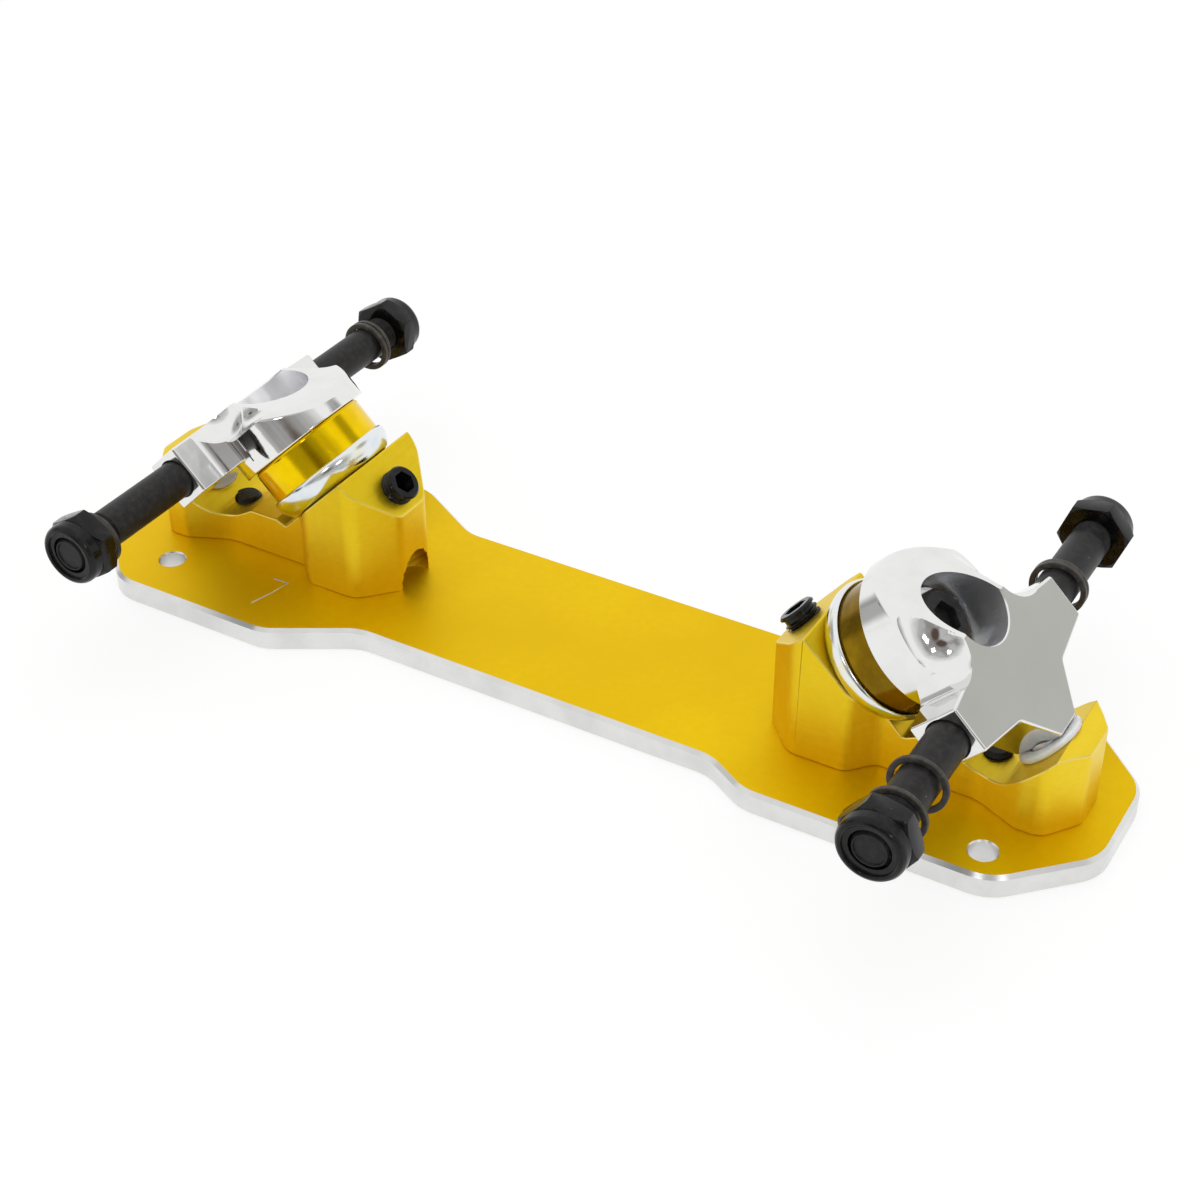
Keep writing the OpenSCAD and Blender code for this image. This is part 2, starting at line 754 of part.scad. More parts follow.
// The rear truck is the front one turned round, so its left end is the turned truck's right
at_truck(rear) truck_base();  // rear_truck_base
at_truck(rear) base_screws();  // rear_base_screws
at_truck(rear) pivot_cup();  // rear_pivot_cup
at_truck(rear) kingpin();  // rear_kingpin
at_truck(rear) kingpin_lock_screw();  // rear_kingpin_lock_screw
at_truck(rear) cushion_washer();  // rear_cushion_washer
at_truck(rear) cushion();  // rear_cushion
at_truck(rear) top_cushion();  // rear_top_cushion
at_truck(rear) top_washer();  // rear_top_washer
at_truck(rear) hanger();  // rear_hanger
at_truck(rear) axle();  // rear_axle
at_truck(rear) axle_nut(right, rear_nut_turn);  // rear_axle_nut_left
at_truck(rear) axle_nut(left, rear_nut_turn);  // rear_axle_nut_right
at_truck(rear) axle_washer(right, rear_left_rest[0]);  // rear_washer_left_inner
at_truck(rear) axle_washer(right, rear_left_rest[1]);  // rear_washer_left_outer
at_truck(rear) axle_washer(left, rear_right_rest[0]);  // rear_washer_right_inner
at_truck(rear) axle_washer(left, rear_right_rest[1]);  // rear_washer_right_outer
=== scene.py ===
"""Roller skate plate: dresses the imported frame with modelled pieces, finishes, a studio and a camera.

Sizes are in millimetres and angles in degrees. The scene is in metres, in the frame's own axes: X runs
from heel to toe, Y to the skate's left and Z up from the sole face.
"""

import logging
import math
from collections.abc import Callable, Sequence
from dataclasses import dataclass, field
from enum import Enum
from itertools import pairwise, product

import bpy
from mathutils import Matrix, Vector


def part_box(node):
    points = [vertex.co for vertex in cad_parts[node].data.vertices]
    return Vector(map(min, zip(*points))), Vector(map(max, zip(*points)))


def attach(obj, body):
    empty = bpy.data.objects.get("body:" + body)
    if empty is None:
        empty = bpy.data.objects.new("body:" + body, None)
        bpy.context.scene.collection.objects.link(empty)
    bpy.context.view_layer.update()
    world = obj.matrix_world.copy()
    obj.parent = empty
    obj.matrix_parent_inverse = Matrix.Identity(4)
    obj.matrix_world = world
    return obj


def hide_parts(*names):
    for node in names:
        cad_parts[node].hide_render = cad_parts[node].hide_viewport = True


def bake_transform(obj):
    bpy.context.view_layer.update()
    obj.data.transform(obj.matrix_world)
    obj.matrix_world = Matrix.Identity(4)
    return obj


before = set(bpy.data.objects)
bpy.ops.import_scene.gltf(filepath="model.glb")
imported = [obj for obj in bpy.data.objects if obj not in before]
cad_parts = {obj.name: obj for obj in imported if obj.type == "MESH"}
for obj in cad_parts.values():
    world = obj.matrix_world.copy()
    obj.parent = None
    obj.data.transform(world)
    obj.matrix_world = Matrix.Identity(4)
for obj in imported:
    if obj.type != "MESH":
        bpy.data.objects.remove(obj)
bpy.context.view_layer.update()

MM = 0.001
BASE = "base"
WELD = 1e-6  # metres between points that become one
NEAR = 0.1  # how far off a level an edge may lie and still be picked
TOUCH = 0.01  # how far off a surface a face's middle may lie
NOISE_ROUGHNESS = 0.55  # how much each finer layer of noise adds

log = logging.getLogger("skate_plate")

Piece = bpy.types.Object
Material = bpy.types.Material
Pair = tuple[float, float]
Point = tuple[float, float, float]
Colour = tuple[float, float, float]
Section = Sequence[Pair]
EdgeTest = Callable[[Vector, Vector], bool]
FaceTest = Callable[[Vector, Vector], bool]


class Spelled(Enum):
    """A choice that the frame's names spell out."""

    @property
    def label(self) -> str:
        """The choice as the frame writes it."""
        return self.name.lower()


class End(Spelled):
    """The plate's two ends, with the way that each truck faces along X."""

    FRONT = 1
    REAR = -1


class Side(Spelled):
    """The skate's two sides, with the way that each lies along Y."""

    LEFT = 1
    RIGHT = -1


class Join(Enum):
    """How a tool changes the piece that it meets."""

    CUT = "DIFFERENCE"
    ADD = "UNION"
    KEEP = "INTERSECT"


def rounded(corners: Sequence[Point], steps: int = 14) -> list[Pair]:
    """Turns an outline's corners into arcs.

    Args:
        corners: Each corner's place and radius.
        steps: Faces along an arc.

    Returns:
        The outline's points.
    """
    points: list[Pair] = []
    for index, (x, y, r) in enumerate(corners):
        here = Vector((x, y))
        if r <= 0:
            points.append((x, y))
            continue
        back = (Vector(corners[index - 1][:2]) - here).normalized()
        ahead = (Vector(corners[(index + 1) % len(corners)][:2]) - here).normalized()
        half = back.angle(ahead) / 2
        middle = here + (back + ahead).normalized() * r / math.sin(half)
        first = here + back * r / math.tan(half) - middle
        last = here + ahead * r / math.tan(half) - middle
        start = math.atan2(first.y, first.x)
        turn = math.atan2(first.cross(last), first.dot(last))
        points += [(middle.x + r * math.cos(start + turn * i / steps),
                    middle.y + r * math.sin(start + turn * i / steps)) for i in range(steps + 1)]
    return points


def mirrored(half: Sequence[Point], across_x: bool) -> list[Point]:
    """Closes an outline from its corners on one side of the X axis, or of the Y axis."""
    flip = (1, -1) if across_x else (-1, 1)
    return [*half, *[(x * flip[0], y * flip[1], r) for x, y, r in reversed(half)]]


def shift(x: float, y: float, z: float) -> Matrix:
    """A move by distances along the axes."""
    return Matrix.Translation(Vector((x, y, z)) * MM)


def turned(angle: float, axis: str) -> Matrix:
    """A turn about an axis."""
    return Matrix.Rotation(math.radians(angle), 4, axis)


def above(level: float) -> EdgeTest:
    """Picks the edges at a height or above it."""
    return lambda a, b: min(a.z, b.z) > (level - NEAR) * MM


def below(level: float) -> EdgeTest:
    """Picks the edges at a height or below it."""
    return lambda a, b: max(a.z, b.z) < (level + NEAR) * MM


class Bench:
    """The modelling moves that the pieces share."""

    @staticmethod
    def clear() -> None:
        """Leaves edit mode and selects nothing."""
        held = bpy.context.view_layer.objects.active
        if held is not None and held.mode != "OBJECT":
            bpy.ops.object.mode_set(mode="OBJECT")
        bpy.ops.object.select_all(action="DESELECT")

    @staticmethod
    def hold(piece: Piece, editing: bool = False) -> None:
        """Makes a piece the only one selected.

        Args:
            piece: The piece to work on.
            editing: Whether to open it in edit mode with all of it selected.
        """
        Bench.clear()
        piece.select_set(True)
        bpy.context.view_layer.objects.active = piece
        if editing:
            bpy.ops.object.mode_set(mode="EDIT")
            bpy.ops.mesh.select_mode(type="VERT")
            bpy.ops.mesh.select_all(action="SELECT")

    @staticmethod
    def named(name: str) -> Piece:
        """Gives the piece at hand, and its mesh, a name.

        Args:
            name: The piece's name.

        Returns:
            The piece.
        """
        piece = bpy.context.view_layer.objects.active
        piece.name = name
        piece.data.name = name
        return piece

    @staticmethod
    def wire(name: str, points: Sequence[Point]) -> Piece:
        """Draws a line from point to point, and leaves it selected in edit mode.

        Args:
            name: The piece's name.
            points: The line's points.

        Returns:
            The piece.
        """
        Bench.clear()
        bpy.ops.mesh.primitive_plane_add(size=MM)
        piece = Bench.named(name)
        Bench.hold(piece, editing=True)
        bpy.ops.mesh.merge(type="CENTER")
        bpy.ops.transform.translate(value=Vector(points[0]) * MM)
        for here, there in pairwise(points):
            step = (Vector(there) - Vector(here)) * MM
            bpy.ops.mesh.extrude_vertices_move(TRANSFORM_OT_translate={"value": step})
        bpy.ops.mesh.select_all(action="SELECT")
        return piece

    @staticmethod
    def lathe(name: str, section: Section, steps: int = 96) -> Piece:
        """Turns a section round the Z axis.

        Args:
            name: The piece's name.
            section: Distances from the axis and heights; a ring's section ends where it starts.
            steps: Faces round the axis.

        Returns:
            The closed piece, at the origin.
        """
        piece = Bench.wire(name, [(r, 0, height) for r, height in section])
        bpy.ops.mesh.spin(steps=steps, angle=math.tau, center=(0, 0, 0), axis=(0, 0, 1))
        Bench.weld(piece)
        return piece

    @staticmethod
    def rod(name: str, r: float, low: float, high: float, steps: int = 96) -> Piece:
        """Makes a round rod on the Z axis, by its radius and its two heights."""
        return Bench.lathe(name, [(0, low), (r, low), (r, high), (0, high)], steps)

    @staticmethod
    def ring(name: str, bore: float, r: float, low: float, high: float) -> Piece:
        """Makes a flat ring on the Z axis, by its two radii and its two heights."""
        return Bench.lathe(name, [(bore, low), (r, low), (r, high), (bore, high), (bore, low)])

    @staticmethod
    def prism(name: str, outline: Section, low: float, high: float) -> Piece:
        """Raises an outline in the XY plane from one height to another.

        Args:
            name: The piece's name.
            outline: The outline's points.
            low: The low height.
            high: The high height.

        Returns:
            The closed piece.
        """
        piece = Bench.wire(name, [(x, y, low) for x, y in outline])
        bpy.ops.mesh.edge_face_add()
        bpy.ops.mesh.extrude_region_move(TRANSFORM_OT_translate={"value": (0, 0, (high - low) * MM)})
        Bench.weld(piece)
        return piece

    @staticmethod
    def block(name: str, middle: Point, size: Point, turn: Matrix | None = None) -> Piece:
        """Makes a box.

        Args:
            name: The piece's name.
            middle: Its middle.
            size: Its size along each axis.
            turn: How it is turned about its middle.

        Returns:
            The box.
        """
        Bench.clear()
        bpy.ops.mesh.primitive_cube_add(size=1)
        place = shift(*middle) @ (turn or Matrix.Identity(4))
        return Bench.place(Bench.named(name), place @ Matrix.Diagonal((*(Vector(size) * MM), 1)))

    @staticmethod
    def weld(piece: Piece, outward: bool = True) -> None:
        """Merges a piece's doubled points, and turns its faces outwards.

        Args:
            piece: The piece.
            outward: Whether to turn the faces.
        """
        Bench.hold(piece, editing=True)
        bpy.ops.mesh.remove_doubles(threshold=WELD)
        bpy.ops.mesh.select_all(action="SELECT")
        if outward:
            bpy.ops.mesh.normals_make_consistent(inside=False)
        bpy.ops.object.mode_set(mode="OBJECT")

    @staticmethod
    def apply(piece: Piece, kind: str, **settings: object) -> None:
        """Adds a modifier to a piece and applies it.

        Args:
            piece: The piece.
            kind: The modifier's type.
            **settings: The modifier's settings.
        """
        Bench.hold(piece)
        bpy.ops.object.modifier_add(type=kind)
        modifier = piece.modifiers[-1]
        for key, value in settings.items():
            setattr(modifier, key, value)
        bpy.ops.object.modifier_apply(modifier=modifier.name)

    @staticmethod
    def bundle(pieces: Sequence[Piece]) -> Piece:
        """Puts several pieces into the first one's mesh.

        Args:
            pieces: The pieces.

        Returns:
            The first piece.
        """
        Bench.hold(pieces[0])
        for piece in pieces:
            piece.select_set(True)
        if len(pieces) > 1:
            bpy.ops.object.join()
        return pieces[0]

    @staticmethod
    def drop(*pieces: Piece) -> None:
        """Removes tools and models that have done their work."""
        for piece in pieces:
            bpy.data.meshes.remove(piece.data)

    @staticmethod
    def join(piece: Piece, how: Join, *tools: Piece) -> None:
        """Cuts a piece with tools, adds them to it or keeps what it shares with them, and drops the tools.

        Args:
            piece: The piece, whose own shells may overlap.
            how: What the tools do.
            *tools: The tools' closed meshes, which may overlap.
        """
        tool = Bench.bundle(tools)
        Bench.apply(piece, "BOOLEAN", object=tool, operation=how.value, solver="EXACT",
                    use_self=len(tools) > 1)
        Bench.drop(tool)

    @staticmethod
    def soften(piece: Piece, width: float, segments: int = 2, angle: float = 30) -> None:
        """Rounds a piece's edges that are sharper than an angle."""
        Bench.apply(piece, "BEVEL", width=width * MM, segments=segments, limit_method="ANGLE",
                    angle_limit=math.radians(angle), use_clamp_overlap=True)

    @staticmethod
    def smooth(piece: Piece, angle: float = 35, flats: bool = False) -> None:
        """Shades a piece smooth.

        Args:
            piece: The piece.
            angle: The angle above which an edge stays sharp.
            flats: Whether large faces keep their own normals to the very edge.
        """
        Bench.hold(piece)
        bpy.ops.object.shade_smooth_by_angle(angle=math.radians(angle))
        if flats:
            Bench.apply(piece, "WEIGHTED_NORMAL", mode="FACE_AREA", weight=80, keep_sharp=True)

    @staticmethod
    def settle(piece: Piece) -> Piece:
        """Puts the place of the one selected piece into its mesh."""
        bpy.ops.object.transform_apply(location=True, rotation=True, scale=True)
        return piece

    @staticmethod
    def place(piece: Piece, matrix: Matrix) -> Piece:
        """Puts a piece in its place, and the place into its mesh.

        Args:
            piece: The piece.
            matrix: Its place.

        Returns:
            The piece.
        """
        Bench.hold(piece)
        piece.matrix_world = matrix
        return Bench.settle(piece)

    @staticmethod
    def copy(source: Piece, name: str) -> Piece:
        """Copies a model into a new piece with its own mesh.

        Args:
            source: What to copy.
            name: The new piece's name.

        Returns:
            The new piece.
        """
        piece = bpy.data.objects.new(name, source.data.copy())
        piece.data.name = name
        bpy.context.scene.collection.objects.link(piece)
        return piece

    @staticmethod
    def chamfer(piece: Piece, width: float, test: EdgeTest, segments: int = 1,
                sharp: float = 30, slot: int = -1) -> None:
        """Bevels the sharp edges that a test picks.

        Args:
            piece: The piece.
            width: The bevel's width.
            test: Takes an edge's two ends, in metres.
            segments: Faces across the bevel.
            sharp: The least angle between the faces of an edge.
            slot: The material slot of the new faces, or -1 for their neighbours'.
        """
        Bench.hold(piece, editing=True)
        bpy.ops.mesh.select_mode(type="EDGE")
        bpy.ops.mesh.select_all(action="DESELECT")
        bpy.ops.mesh.edges_select_sharp(sharpness=math.radians(sharp))
        bpy.ops.object.mode_set(mode="OBJECT")
        mesh = piece.data
        picked = [edge for edge in mesh.edges if edge.select
                  and test(mesh.vertices[edge.vertices[0]].co, mesh.vertices[edge.vertices[1]].co)]
        for items in (mesh.vertices, mesh.edges, mesh.polygons):
            items.foreach_set("select", [False] * len(items))
        for edge in picked:
            edge.select = True
        bpy.ops.object.mode_set(mode="EDIT")
        bpy.ops.mesh.bevel(offset=width * MM, segments=segments, affect="EDGES",
                           clamp_overlap=False, loop_slide=True, material=slot)
        bpy.ops.object.mode_set(mode="OBJECT")

    @staticmethod
    def dress(piece: Piece, *materials: Material) -> None:
        """Gives a piece its materials, in the order of its slots."""
        for material in materials:
            piece.data.materials.append(material)

    @staticmethod
    def paint(piece: Piece, slot: int, test: FaceTest) -> None:
        """Gives the faces that a test picks a material slot.

        Args:
            piece: The piece.
            slot: The slot's number.
            test: Takes a face's middle, in metres, and its normal.
        """
        Bench.hold(piece, editing=True)
        bpy.ops.mesh.select_mode(type="FACE")
        bpy.ops.mesh.select_all(action="DESELECT")
        bpy.ops.object.mode_set(mode="OBJECT")
        faces = piece.data.polygons
        faces.foreach_set("select", [test(face.center, face.normal) for face in faces])
        bpy.ops.object.mode_set(mode="EDIT")
        piece.active_material_index = slot
        bpy.ops.object.material_slot_assign()
        bpy.ops.object.mode_set(mode="OBJECT")

    @staticmethod
    def hexagon(name: str, across: float, low: float, high: float) -> Piece:
        """Makes a six-sided prism on the Z axis.

        Args:
            name: The piece's name.
            across: Its width across flats.
            low: The low height.
            high: The high height.

        Returns:
            The prism.
        """
        Bench.clear()
        bpy.ops.mesh.primitive_cylinder_add(vertices=6, radius=across / math.sqrt(3) * MM,
                                            depth=(high - low) * MM,
                                            location=(0, 0, (low + high) / 2 * MM),
                                            rotation=(0, 0, math.radians(30)))
        return Bench.settle(Bench.named(name))

    @staticmethod
    def thread(name: str, crest: float, depth: float, pitch: float, low: float, high: float,
               steps: int = 40) -> Piece:
        """Makes a threaded rod on the Z axis from one tooth that climbs round it.

        Args:
            name: The piece's name.
            crest: The thread's outside radius.
            depth: The teeth's depth.
            pitch: The distance from tooth to tooth.
            low: The rod's lowest height.
            high: The rod's highest height.
            steps: Faces in a turn.

        Returns:
            The closed rod.
        """
        root = crest - depth
        foot, rise, fall = low + 0.15 * pitch, low + 0.5 * pitch, low + 0.65 * pitch
        tooth = [(root, low), (root, foot), (crest, rise), (crest, fall), (root, low + pitch)]
        piece = Bench.wire(name, [(r, 0, height) for r, height in tooth])
        bpy.ops.object.mode_set(mode="OBJECT")
        turns = max(1, int((high - low) / pitch) - 1)
        Bench.apply(piece, "SCREW", angle=math.tau, screw_offset=pitch * MM, iterations=turns,
                    steps=steps, render_steps=steps, axis="Z", use_merge_vertices=True)
        Bench.weld(piece, outward=False)
        Bench.hold(piece, editing=True)
        bpy.ops.mesh.select_all(action="DESELECT")
        bpy.ops.mesh.select_non_manifold(extend=False, use_wire=False, use_multi_face=False,
                                         use_non_contiguous=False, use_verts=False)
        bpy.ops.mesh.extrude_edges_move()
        bpy.ops.mesh.merge(type="COLLAPSE")
        Bench.weld(piece)
        return piece


class Wire:
    """A node's output that takes part in Python expressions."""

    def __init__(self, shader: "Shader", socket: bpy.types.NodeSocket) -> None:
        """Wraps an output socket of a shader's node tree."""
        self.shader = shader
        self.socket = socket

    def _math(self, operation: str, *values: "Wire | float") -> "Wire":
        """Adds a Math node on the given values."""
        return self.shader.node("ShaderNodeMath", {"operation": operation}, dict(enumerate(values)))

    def __add__(self, other: "Wire | float") -> "Wire":
        """Adds a value."""
        return self._math("ADD", self, other)

    def __sub__(self, other: "Wire | float") -> "Wire":
        """Takes a value away."""
        return self._math("SUBTRACT", self, other)

    def __rsub__(self, other: float) -> "Wire":
        """Takes this from a number."""
        return self._math("SUBTRACT", other, self)

    def __mul__(self, other: "Wire | float") -> "Wire":
        """Multiplies by a value."""
        return self._math("MULTIPLY", self, other)

    def __or__(self, other: "Wire") -> "Wire":
        """Takes the larger of two values."""
        return self._math("MAXIMUM", self, other)

    __radd__ = __add__
    __rmul__ = __mul__

    def span(self, low: float, high: float, start: float = 0.0, end: float = 1.0) -> "Wire":
        """Stretches a part of this value's range smoothly from start to end, and holds it there."""
        return self.shader.node("ShaderNodeMapRange", {"interpolation_type": "SMOOTHSTEP"},
                                {0: self, 1: low, 2: high, 3: start, 4: end})


class Shader:
    """A node tree under construction."""

    def __init__(self, tree: bpy.types.NodeTree) -> None:
        """Starts on an empty tree."""
        self.tree = tree
        self.tree.nodes.clear()

    def node(self, kind: str, settings: dict[str, object], inputs: dict[int | str, object],
             output: int | str = 0) -> Wire:
        """Adds a node.

        Args:
            kind: The node's type.
            settings: The node's own settings, set first.
            inputs: Values or wires by socket.
            output: The socket to hand back.

        Returns:
            The chosen output.
        """
        made = self.tree.nodes.new(kind)
        for key, value in settings.items():
            setattr(made, key, value)
        for key, value in inputs.items():
            socket = made.inputs[key]
            if isinstance(value, Wire):
                self.tree.links.new(value.socket, socket)
            elif isinstance(value, tuple) and len(value) == 3 and socket.type == "RGBA":
                socket.default_value = (*value, 1.0)
            else:
                socket.default_value = value
        return Wire(self, made.outputs[output]) if made.outputs else Wire(self, None)

    def noise(self, size: float, detail: float = 3.0, stretch: Point = (1, 1, 1),
              turn: Point = (0, 0, 0)) -> Wire:
        """Soft noise on object coordinates.

        Args:
            size: The size of its patches.
            detail: Finer layers on top.
            stretch: How far each axis packs the patches, after the turn.
            turn: Angles that turn the pattern's axes.

        Returns:
            The noise, about 0.5 on average.
        """
        spot = self.node("ShaderNodeTexCoord", {}, {}, "Object")
        aligned = self.node("ShaderNodeMapping", {"vector_type": "POINT"},
                            {"Vector": spot, "Rotation": tuple(math.radians(a) for a in turn)})
        packed = self.node("ShaderNodeVectorMath", {"operation": "MULTIPLY"}, {0: aligned, 1: stretch})
        return self.node("ShaderNodeTexNoise", {"noise_dimensions": "3D"},
                         {"Vector": packed, "Scale": 1 / (size * MM), "Detail": detail,
                          "Roughness": NOISE_ROUGHNESS})

    def mix(self, share: Wire | float, first: Wire | Colour, second: Wire | Colour) -> Wire:
        """Mixes two colours by a share of the second."""
        return self.node("ShaderNodeMix", {"data_type": "RGBA"}, {0: share, 6: first, 7: second}, 2)

    def bump(self, height: Wire, depth: float, under: Wire | None = None) -> Wire:
        """Turns a height into a normal.

        Args:
            height: The height.
            depth: How deep it is.
            under: The normal that it lies on.

        Returns:
            The normal.
        """
        inputs: dict[int | str, object] = {"Height": height, "Distance": depth * MM, "Strength": 1.0}
        if under is not None:
            inputs["Normal"] = under
        return self.node("ShaderNodeBump", {}, inputs)

    def close(self, surface: Wire) -> None:
        """Ends a material's tree with its surface."""
        self.node("ShaderNodeOutputMaterial", {}, {"Surface": surface})

    def surface(self, **inputs: object) -> None:
        """Ends the tree with a principled surface, by its sockets' names with _ for a space."""
        self.close(self.node("ShaderNodeBsdfPrincipled", {"distribution": "MULTI_GGX"},
                             {key.replace("_", " "): value for key, value in inputs.items()}))


def new_material(name: str) -> tuple[Material, Shader]:
    """Starts a material.

    Args:
        name: The material's name.

    Returns:
        The material, and the shader that fills it.
    """
    material = bpy.data.materials.new(name)
    material.use_nodes = True
    return material, Shader(material.node_tree)


def toned(colour: Colour, share: float) -> Colour:
    """A colour at a share of its brightness."""
    return tuple(part * share for part in colour)


@dataclass(frozen=True)
class Finish:
    """A finish, by its material's name."""

    name: str

    def make(self) -> Material:
        """Builds the material.

        Returns:
            The material.
        """
        material, shader = new_material(self.name)
        self.fill(shader)
        return material

    def fill(self, shader: Shader) -> None:
        """Adds the nodes, which each finish has of its own."""
        raise NotImplementedError


@dataclass(frozen=True)
class AnodisedGold(Finish):
    """Dyed anodised aluminium: an even satin grain, soft clouds in the dye and faint cutter lines."""

    light: Colour
    deep: Colour
    roughness: float = 0.52
    grain: float = 0.16
    grain_depth: float = 0.006
    cutter_lines: float = 0.0

    def fill(self, shader: Shader) -> None:
        """Adds the dye with its clouds and specks, the grain and the cutter's lines.

        Args:
            shader: The material\'s shader.
        """
        mottle = shader.noise(1.6)
        share = shader.noise(38, 4) * 0.6 + mottle * 0.25
        normal = shader.bump(shader.noise(self.grain, 2), self.grain_depth)
        if self.cutter_lines:
            lines = shader.noise(30, 3, (1, 1, 80))
            share = share + lines * 0.15
            normal = shader.bump(lines, self.cutter_lines, normal)
        dye = shader.mix(share.span(0.3, 0.72), self.deep, self.light)
        specks = shader.noise(0.55, 1).span(0.74, 0.8)
        shader.surface(Base_Color=shader.mix(specks * 0.25, dye, self.deep), Metallic=1.0,
                       Roughness=self.roughness + (mottle - 0.5) * 0.12, Normal=normal)


@dataclass(frozen=True)
class BareMachined(Finish):
    """Aluminium as the cutter leaves it: bright, with lines along the cut and slow chatter across it."""

    colour: Colour = (0.78, 0.78, 0.77)
    roughness: float = 0.2

    def fill(self, shader: Shader) -> None:
        """Adds the lines, the chatter and smears.

        Args:
            shader: The material\'s shader.
        """
        lines = shader.noise(25, 2, (1, 1, 120))
        chatter = shader.noise(1.3, 2, (1, 1, 0.1))
        smear = shader.noise(9, 4)
        shader.surface(Base_Color=shader.mix(smear.span(0.35, 0.7), self.colour, toned(self.colour, 0.9)),
                       Metallic=1.0, Roughness=self.roughness + lines * 0.12 + smear * 0.08,
                       Normal=shader.bump(lines, 0.004, shader.bump(chatter, 0.006)))


@dataclass(frozen=True)
class PolishedAlloy(Finish):
    """Buffed aluminium: a near mirror with slow waves, hairlines and thumb smears."""

    colour: Colour = (0.82, 0.82, 0.81)
    roughness: float = 0.05

    def fill(self, shader: Shader) -> None:
        """Adds the waves, the hairlines and the smears.

        Args:
            shader: The material\'s shader.
        """
        waves = shader.noise(5.5, 2)
        hairlines = shader.noise(14, 2, (1, 60, 9), (0, 45, 20))
        smears = shader.noise(7, 5)
        shader.surface(Base_Color=shader.mix(smears.span(0.4, 0.75), self.colour, toned(self.colour, 0.94)),
                       Metallic=1.0,
                       Roughness=self.roughness + smears.span(0.45, 0.8) * 0.07 + hairlines * 0.03,
                       Normal=shader.bump(waves, 0.035, shader.bump(hairlines, 0.0012)))


@dataclass(frozen=True)
class SatinFace(Finish):
    """Aluminium faced off or bored, and left satin grey."""

    colour: Colour = (0.46, 0.46, 0.43)
    roughness: float = 0.34

    def fill(self, shader: Shader) -> None:
        """Adds the brushed lines and clouds.

        Args:
            shader: The material\'s shader.
        """
        brush = shader.noise(9, 3, (60, 1, 60))
        tone = shader.mix(shader.noise(12, 4) * 0.7 + brush * 0.3, toned(self.colour, 0.9),
                          toned(self.colour, 1.1))
        shader.surface(Base_Color=tone, Metallic=1.0, Roughness=self.roughness + (brush - 0.5) * 0.2,
                       Normal=shader.bump(brush, 0.003))


@dataclass(frozen=True)
class BlackOxide(Finish):
    """Blackened steel: a dry dark skin, mottled, with a few pale specks of dust."""

    colour: Colour = (0.012, 0.011, 0.011)
    pale: Colour = (0.03, 0.028, 0.027)
    roughness: float = 0.42
    dust: float = 0.4
    dust_tone: Colour = (0.5, 0.5, 0.5)

    def fill(self, shader: Shader) -> None:
        """Adds the mottled skin, its grain and the dust.

        Args:
            shader: The material\'s shader.
        """
        mottle = shader.noise(1.4, 5)
        dust = shader.noise(0.75, 1).span(0.79, 0.83) * self.dust
        skin = shader.mix(mottle.span(0.35, 0.75), self.colour, self.pale)
        shader.surface(Base_Color=shader.mix(dust, skin, self.dust_tone), Specular_IOR_Level=0.22,
                       Roughness=self.roughness + (mottle - 0.5) * 0.3,
                       Normal=shader.bump(shader.noise(0.22, 2), 0.012))


@dataclass(frozen=True)
class GlossBlack(Finish):
    """Black plated steel under a glossy skin."""

    colour: Colour = (0.004, 0.004, 0.004)
    smear: Colour = (0.02, 0.019, 0.018)
    dust_tone: Colour = (0.4, 0.4, 0.38)
    roughness: float = 0.12

    def fill(self, shader: Shader) -> None:
        """Adds the smeared skin, its runs and specks of dust.

        Args:
            shader: The material\'s shader.
        """
        smears = shader.noise(2.2, 5).span(0.4, 0.8)
        dust = shader.noise(0.5, 1).span(0.8, 0.84) * 0.35
        skin = shader.mix(smears, self.colour, self.smear)
        shader.surface(Base_Color=shader.mix(dust, skin, self.dust_tone), Specular_IOR_Level=0.25,
                       Roughness=self.roughness + smears * 0.2,
                       Normal=shader.bump(shader.noise(1.1), 0.02))


@dataclass(frozen=True)
class BrightZinc(Finish):
    """Zinc plate with the faint yellow and blue of its passivation."""

    colour: Colour = (0.8, 0.83, 0.84)
    yellow: Colour = (0.84, 0.8, 0.56)
    blue: Colour = (0.68, 0.77, 0.86)

    def fill(self, shader: Shader) -> None:
        """Adds the two tints and fine crystals.

        Args:
            shader: The material\'s shader.
        """
        tint, crystal = shader.noise(6), shader.noise(0.5)
        warm = shader.mix(tint.span(0.5, 0.75), self.colour, self.yellow)
        shader.surface(Base_Color=shader.mix(tint.span(0.5, 0.25), warm, self.blue), Metallic=1.0,
                       Roughness=0.14 + crystal * 0.1, Normal=shader.bump(crystal, 0.004))


@dataclass(frozen=True)
class CastUrethane(Finish):
    """Gold cast urethane with a bright, softly rippled skin that mirrors like metal."""

    colour: Colour = (0.93, 0.64, 0.0015)
    deep: Colour = (0.84, 0.55, 0.001)

    def fill(self, shader: Shader) -> None:
        """Adds the clouds and the skin.

        Args:
            shader: The material\'s shader.
        """
        clouds, skin = shader.noise(6), shader.noise(0.9)
        shader.surface(Base_Color=shader.mix(clouds.span(0.35, 0.7), self.deep, self.colour),
                       Metallic=0.96, Roughness=0.12 + skin * 0.06, Normal=shader.bump(skin, 0.004))


